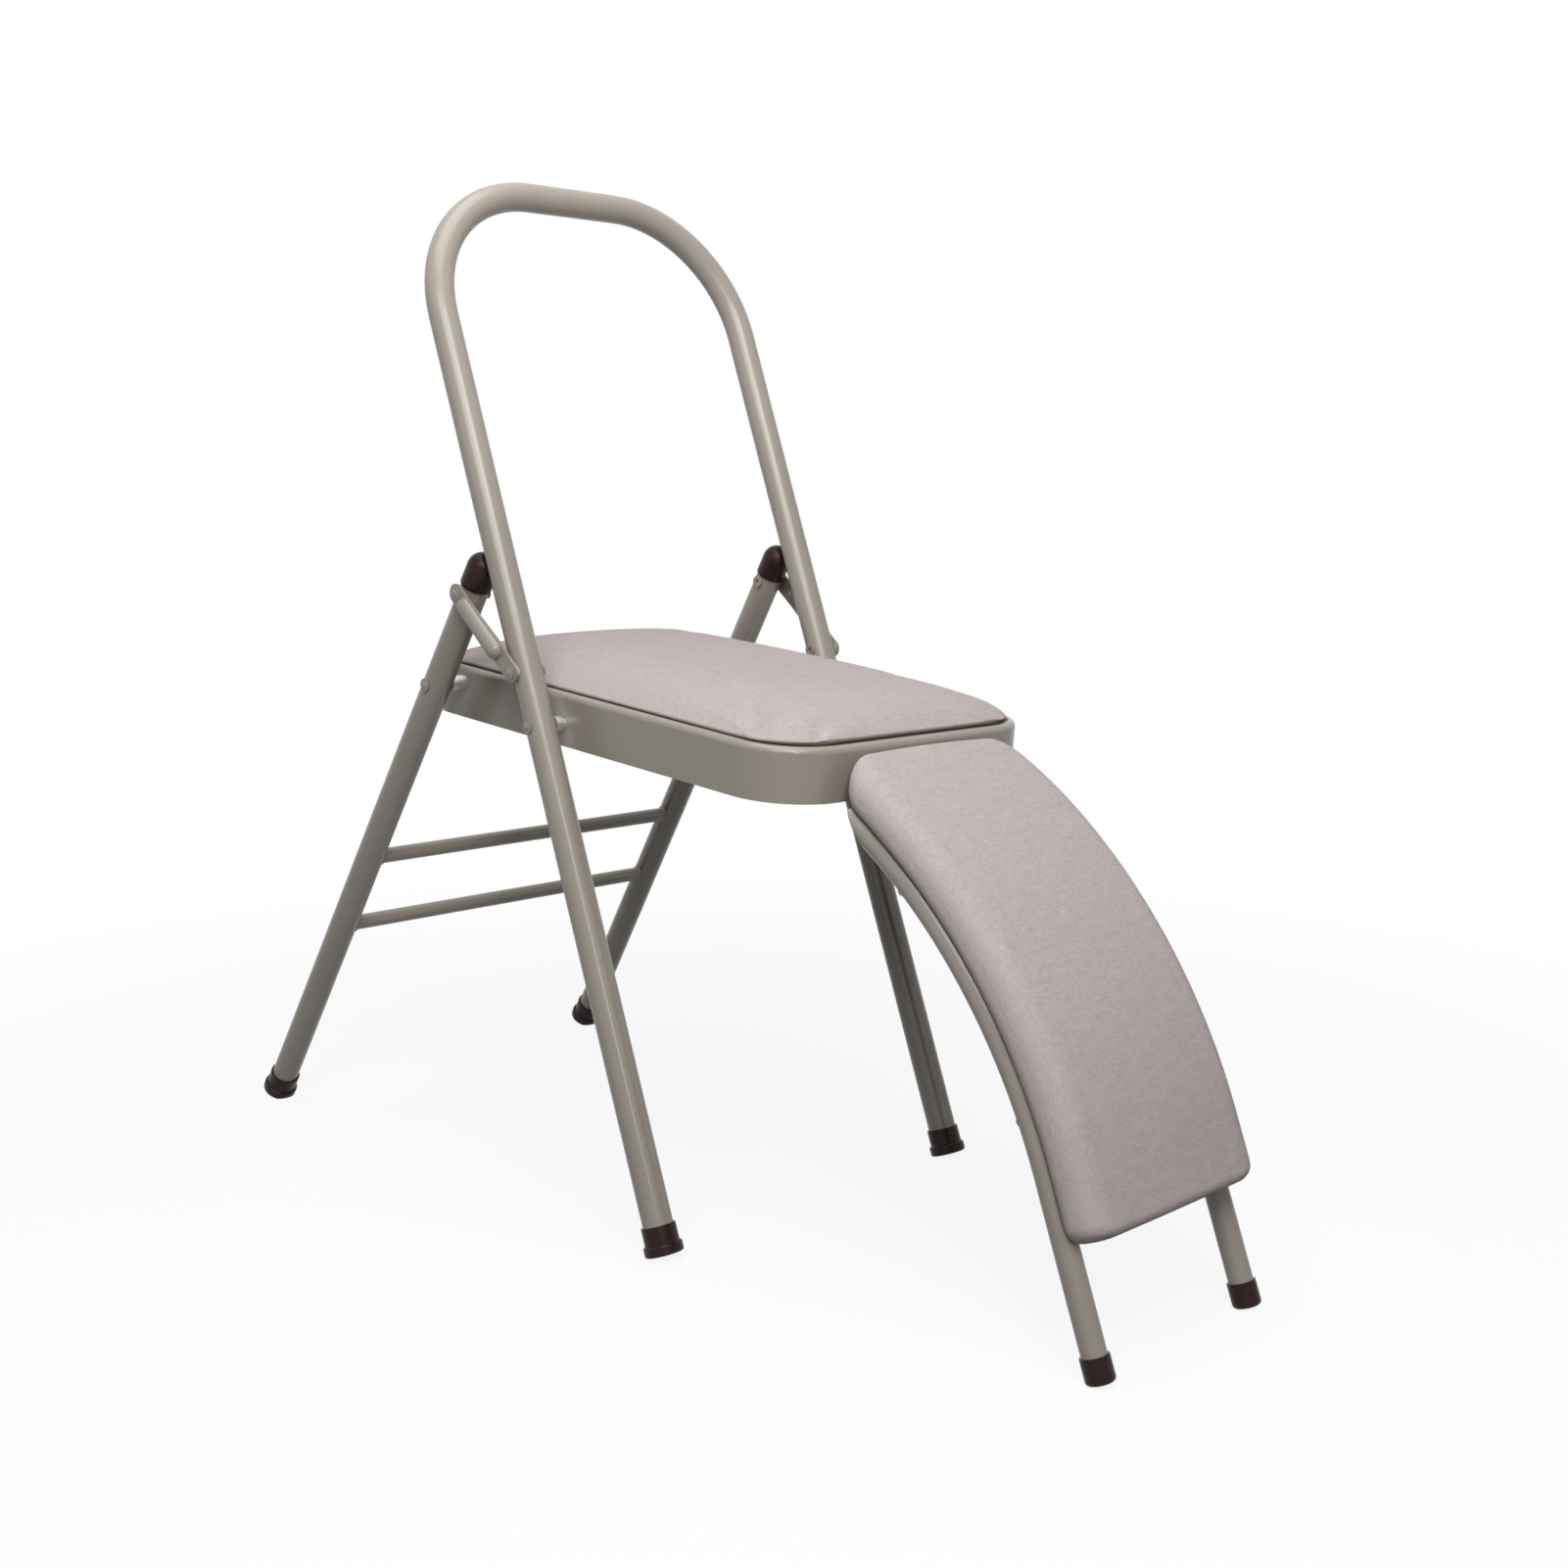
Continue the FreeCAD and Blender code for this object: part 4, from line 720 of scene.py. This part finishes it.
class YOGA_OT_sew_seat(bpy.types.Operator):
    """Sews and fills the seat cushion"""
    bl_idname = "yoga.sew_seat"
    bl_label = "Sew the seat cushion"

    def execute(self, context):
        size = settings().seat
        rows, pinned = CushionForm(size).rows()
        cushion = skin("seat_cushion_cover", rows, pinned)
        fill(cushion, size.swell)
        smooth(cushion)
        cloth_finish("seat_cloth", 0.0).give(cushion)
        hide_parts("seat_cushion")
        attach(cushion, "seat")
        return {"FINISHED"}


class YOGA_OT_sew_arc_pad(bpy.types.Operator):
    """Sews and fills the pad of the arc support"""
    bl_idname = "yoga.sew_arc_pad"
    bl_label = "Sew the arc pad"

    def execute(self, context):
        size = settings().arc
        rows, pinned = PadForm(size).rows()
        arc_pad = skin("arc_pad_cover", rows, pinned)
        fill(arc_pad, size.swell)
        smooth(arc_pad)
        cloth_finish("arc_cloth", -math.pi / 4).give(arc_pad)
        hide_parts("arc_pad")
        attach(arc_pad, "arc_support")
        return {"FINISHED"}


# Studio

def hang(name, data, place, target):
    """Lamp at a place, aimed at a target."""
    lamp = bpy.data.objects.new(name, data)
    lamp.location = place
    lamp.rotation_euler = (Vector(target) - Vector(place)).to_track_quat("-Z", "Y").to_euler()
    bpy.context.scene.collection.objects.link(lamp)
    return lamp


def softbox(name, place, target, width, height, energy):
    data = bpy.data.lights.new(name, "AREA")
    data.shape = "RECTANGLE"
    data.size = width
    data.size_y = height
    data.energy = energy
    hang(name, data, place, target)


def spot(name, place, target, cone, energy):
    """Soft spot that no gloss mirrors."""
    data = bpy.data.lights.new(name, "SPOT")
    data.energy = energy
    data.spot_size = cone
    data.spot_blend = 1.0
    data.shadow_soft_size = SPOT_SOFTNESS
    hang(name, data, place, target).visible_glossy = False


def seen_share(tree):
    """Socket that is 1 for rays that show the background: straight, mirrored or through glass."""
    path = tree.nodes.new("ShaderNodeLightPath")
    share = path.outputs["Is Camera Ray"]
    for other in ("Is Glossy Ray", "Is Transmission Ray"):
        either = tree.nodes.new("ShaderNodeMath")
        either.operation = "MAXIMUM"
        tree.links.new(share, either.inputs[0])
        tree.links.new(path.outputs[other], either.inputs[1])
        share = either.outputs["Value"]
    return share


def white_world(ambient):
    """White where it is seen, soft grey where it lights."""
    world = bpy.data.worlds.new("studio")
    world.use_nodes = True
    tree = world.node_tree
    lit = tree.nodes["Background"]
    lit.inputs["Color"].default_value = (1.0, 0.985, 0.97, 1.0)
    lit.inputs["Strength"].default_value = ambient
    seen = tree.nodes.new("ShaderNodeBackground")
    seen.inputs["Color"].default_value = (1.0, 1.0, 1.0, 1.0)
    choose = tree.nodes.new("ShaderNodeMixShader")
    tree.links.new(seen_share(tree), choose.inputs["Fac"])
    tree.links.new(lit.outputs["Background"], choose.inputs[1])
    tree.links.new(seen.outputs["Background"], choose.inputs[2])
    tree.links.new(choose.outputs["Shader"], tree.nodes["World Output"].inputs["Surface"])
    bpy.context.scene.world = world


def pale_floor():
    """Pale floor that turns white away from the chair and keeps a soft shadow under it."""
    mesh = bpy.data.meshes.new("floor")
    corners = [(x * FLOOR_REACH, y * FLOOR_REACH, 0) for x, y in ((-1, -1), (1, -1), (1, 1), (-1, 1))]
    mesh.from_pydata(corners, [], [(0, 1, 2, 3)])
    floor = bpy.data.objects.new("floor", mesh)
    bpy.context.scene.collection.objects.link(floor)
    material = bpy.data.materials.new("pale_floor")
    material.use_nodes = True
    tree = material.node_tree
    tree.nodes.remove(tree.nodes["Principled BSDF"])

    def shader(kind, colour):
        made = tree.nodes.new(kind)
        made.inputs["Color"].default_value = (*colour, 1.0)
        return made.outputs[0]

    def mixed(share, first, second):
        made = tree.nodes.new("ShaderNodeMixShader")
        tree.links.new(share, made.inputs["Fac"])
        tree.links.new(first, made.inputs[1])
        tree.links.new(second, made.inputs[2])
        return made.outputs["Shader"]

    place = tree.nodes.new("ShaderNodeTexCoord")
    away = tree.nodes.new("ShaderNodeVectorMath")
    away.operation = "LENGTH"
    tree.links.new(place.outputs["Object"], away.inputs[0])
    shaded = tree.nodes.new("ShaderNodeMapRange")
    shaded.interpolation_type = "SMOOTHSTEP"
    tree.links.new(away.outputs["Value"], shaded.inputs["Value"])
    for socket, value in FLOOR_SHADING:
        shaded.inputs[socket].default_value = value
    seen = mixed(shaded.outputs["Result"], shader("ShaderNodeEmission", (1.0, 1.0, 1.0)),
                 shader("ShaderNodeBsdfDiffuse", (0.95, 0.95, 0.95)))
    surface = mixed(seen_share(tree), shader("ShaderNodeBsdfDiffuse", (0.11, 0.108, 0.106)), seen)
    tree.links.new(surface, tree.nodes["Material Output"].inputs["Surface"])
    mesh.materials.append(material)


class YOGA_OT_set_stage(bpy.types.Operator):
    """Sets the floor, the lights and the camera"""
    bl_idname = "yoga.set_stage"
    bl_label = "Set the stage"

    def execute(self, context):
        studio = settings().studio
        scene = context.scene
        scene.view_settings.view_transform = "Standard"
        white_world(studio.ambient)
        pale_floor()
        for name, place, target, width, height, setting in SOFTBOXES:
            softbox(name, place, target, width, height, getattr(studio, setting))
        spot("hoop_spot", SPOT_PLACE, SPOT_TARGET, SPOT_ANGLE, studio.hoop)
        data = bpy.data.cameras.new("photo_camera")
        data.sensor_width = SENSOR_WIDTH
        data.lens = studio.lens
        camera = bpy.data.objects.new("photo_camera", data)
        flat = math.cos(studio.elevation)
        back = Vector((math.sin(studio.azimuth) * flat, -math.cos(studio.azimuth) * flat,
                       math.sin(studio.elevation)))
        camera.location = studio.camera
        camera.rotation_euler = back.to_track_quat("Z", "Y").to_euler()
        scene.collection.objects.link(camera)
        scene.camera = camera
        return {"FINISHED"}


class ChairSettings(bpy.types.PropertyGroup):
    """All settings of the chair."""
    finish: PointerProperty(type=FinishSettings, name="Finishes", description="Colours and gloss")
    seat: PointerProperty(type=SeatSettings, name="Seat", description="Seat cushion")
    arc: PointerProperty(type=ArcSettings, name="Arc", description="Arc pad")
    studio: PointerProperty(type=StudioSettings, name="Studio", description="Camera and light")


STEPS = (
    YOGA_OT_paint_steel, YOGA_OT_weld_tubes, YOGA_OT_plate_hardware, YOGA_OT_mould_caps,
    YOGA_OT_stain_boards_and_seam_shade, YOGA_OT_sew_seat, YOGA_OT_sew_arc_pad, YOGA_OT_set_stage,
)


class YOGA_PT_dresser(bpy.types.Panel):
    """Lists the steps and the settings of the chair"""
    bl_idname = "YOGA_PT_dresser"
    bl_label = "Yoga Chair"
    bl_space_type = "VIEW_3D"
    bl_region_type = "UI"
    bl_category = "Yoga Chair"

    def draw(self, context):
        layout = self.layout
        for step in STEPS:
            layout.operator(step.bl_idname)
        chair = context.scene.yoga_chair
        for group in (chair.finish, chair.seat, chair.arc, chair.studio):
            box = layout.box()
            for name in group.__annotations__:
                box.prop(group, name)


CLASSES = (
    FinishSettings, SeatSettings, ArcSettings, StudioSettings, ChairSettings, *STEPS, YOGA_PT_dresser,
)


def register():
    for made in CLASSES:
        bpy.utils.register_class(made)
    bpy.types.Scene.yoga_chair = PointerProperty(type=ChairSettings)


def unregister():
    del bpy.types.Scene.yoga_chair
    for made in reversed(CLASSES):
        bpy.utils.unregister_class(made)


def main():
    register()
    bpy.ops.yoga.paint_steel()
    bpy.ops.yoga.weld_tubes()
    bpy.ops.yoga.plate_hardware()
    bpy.ops.yoga.mould_caps()
    bpy.ops.yoga.stain_boards()
    bpy.ops.yoga.sew_seat()
    bpy.ops.yoga.sew_arc_pad()
    bpy.ops.yoga.set_stage()


if __name__ == "__main__":
    main()
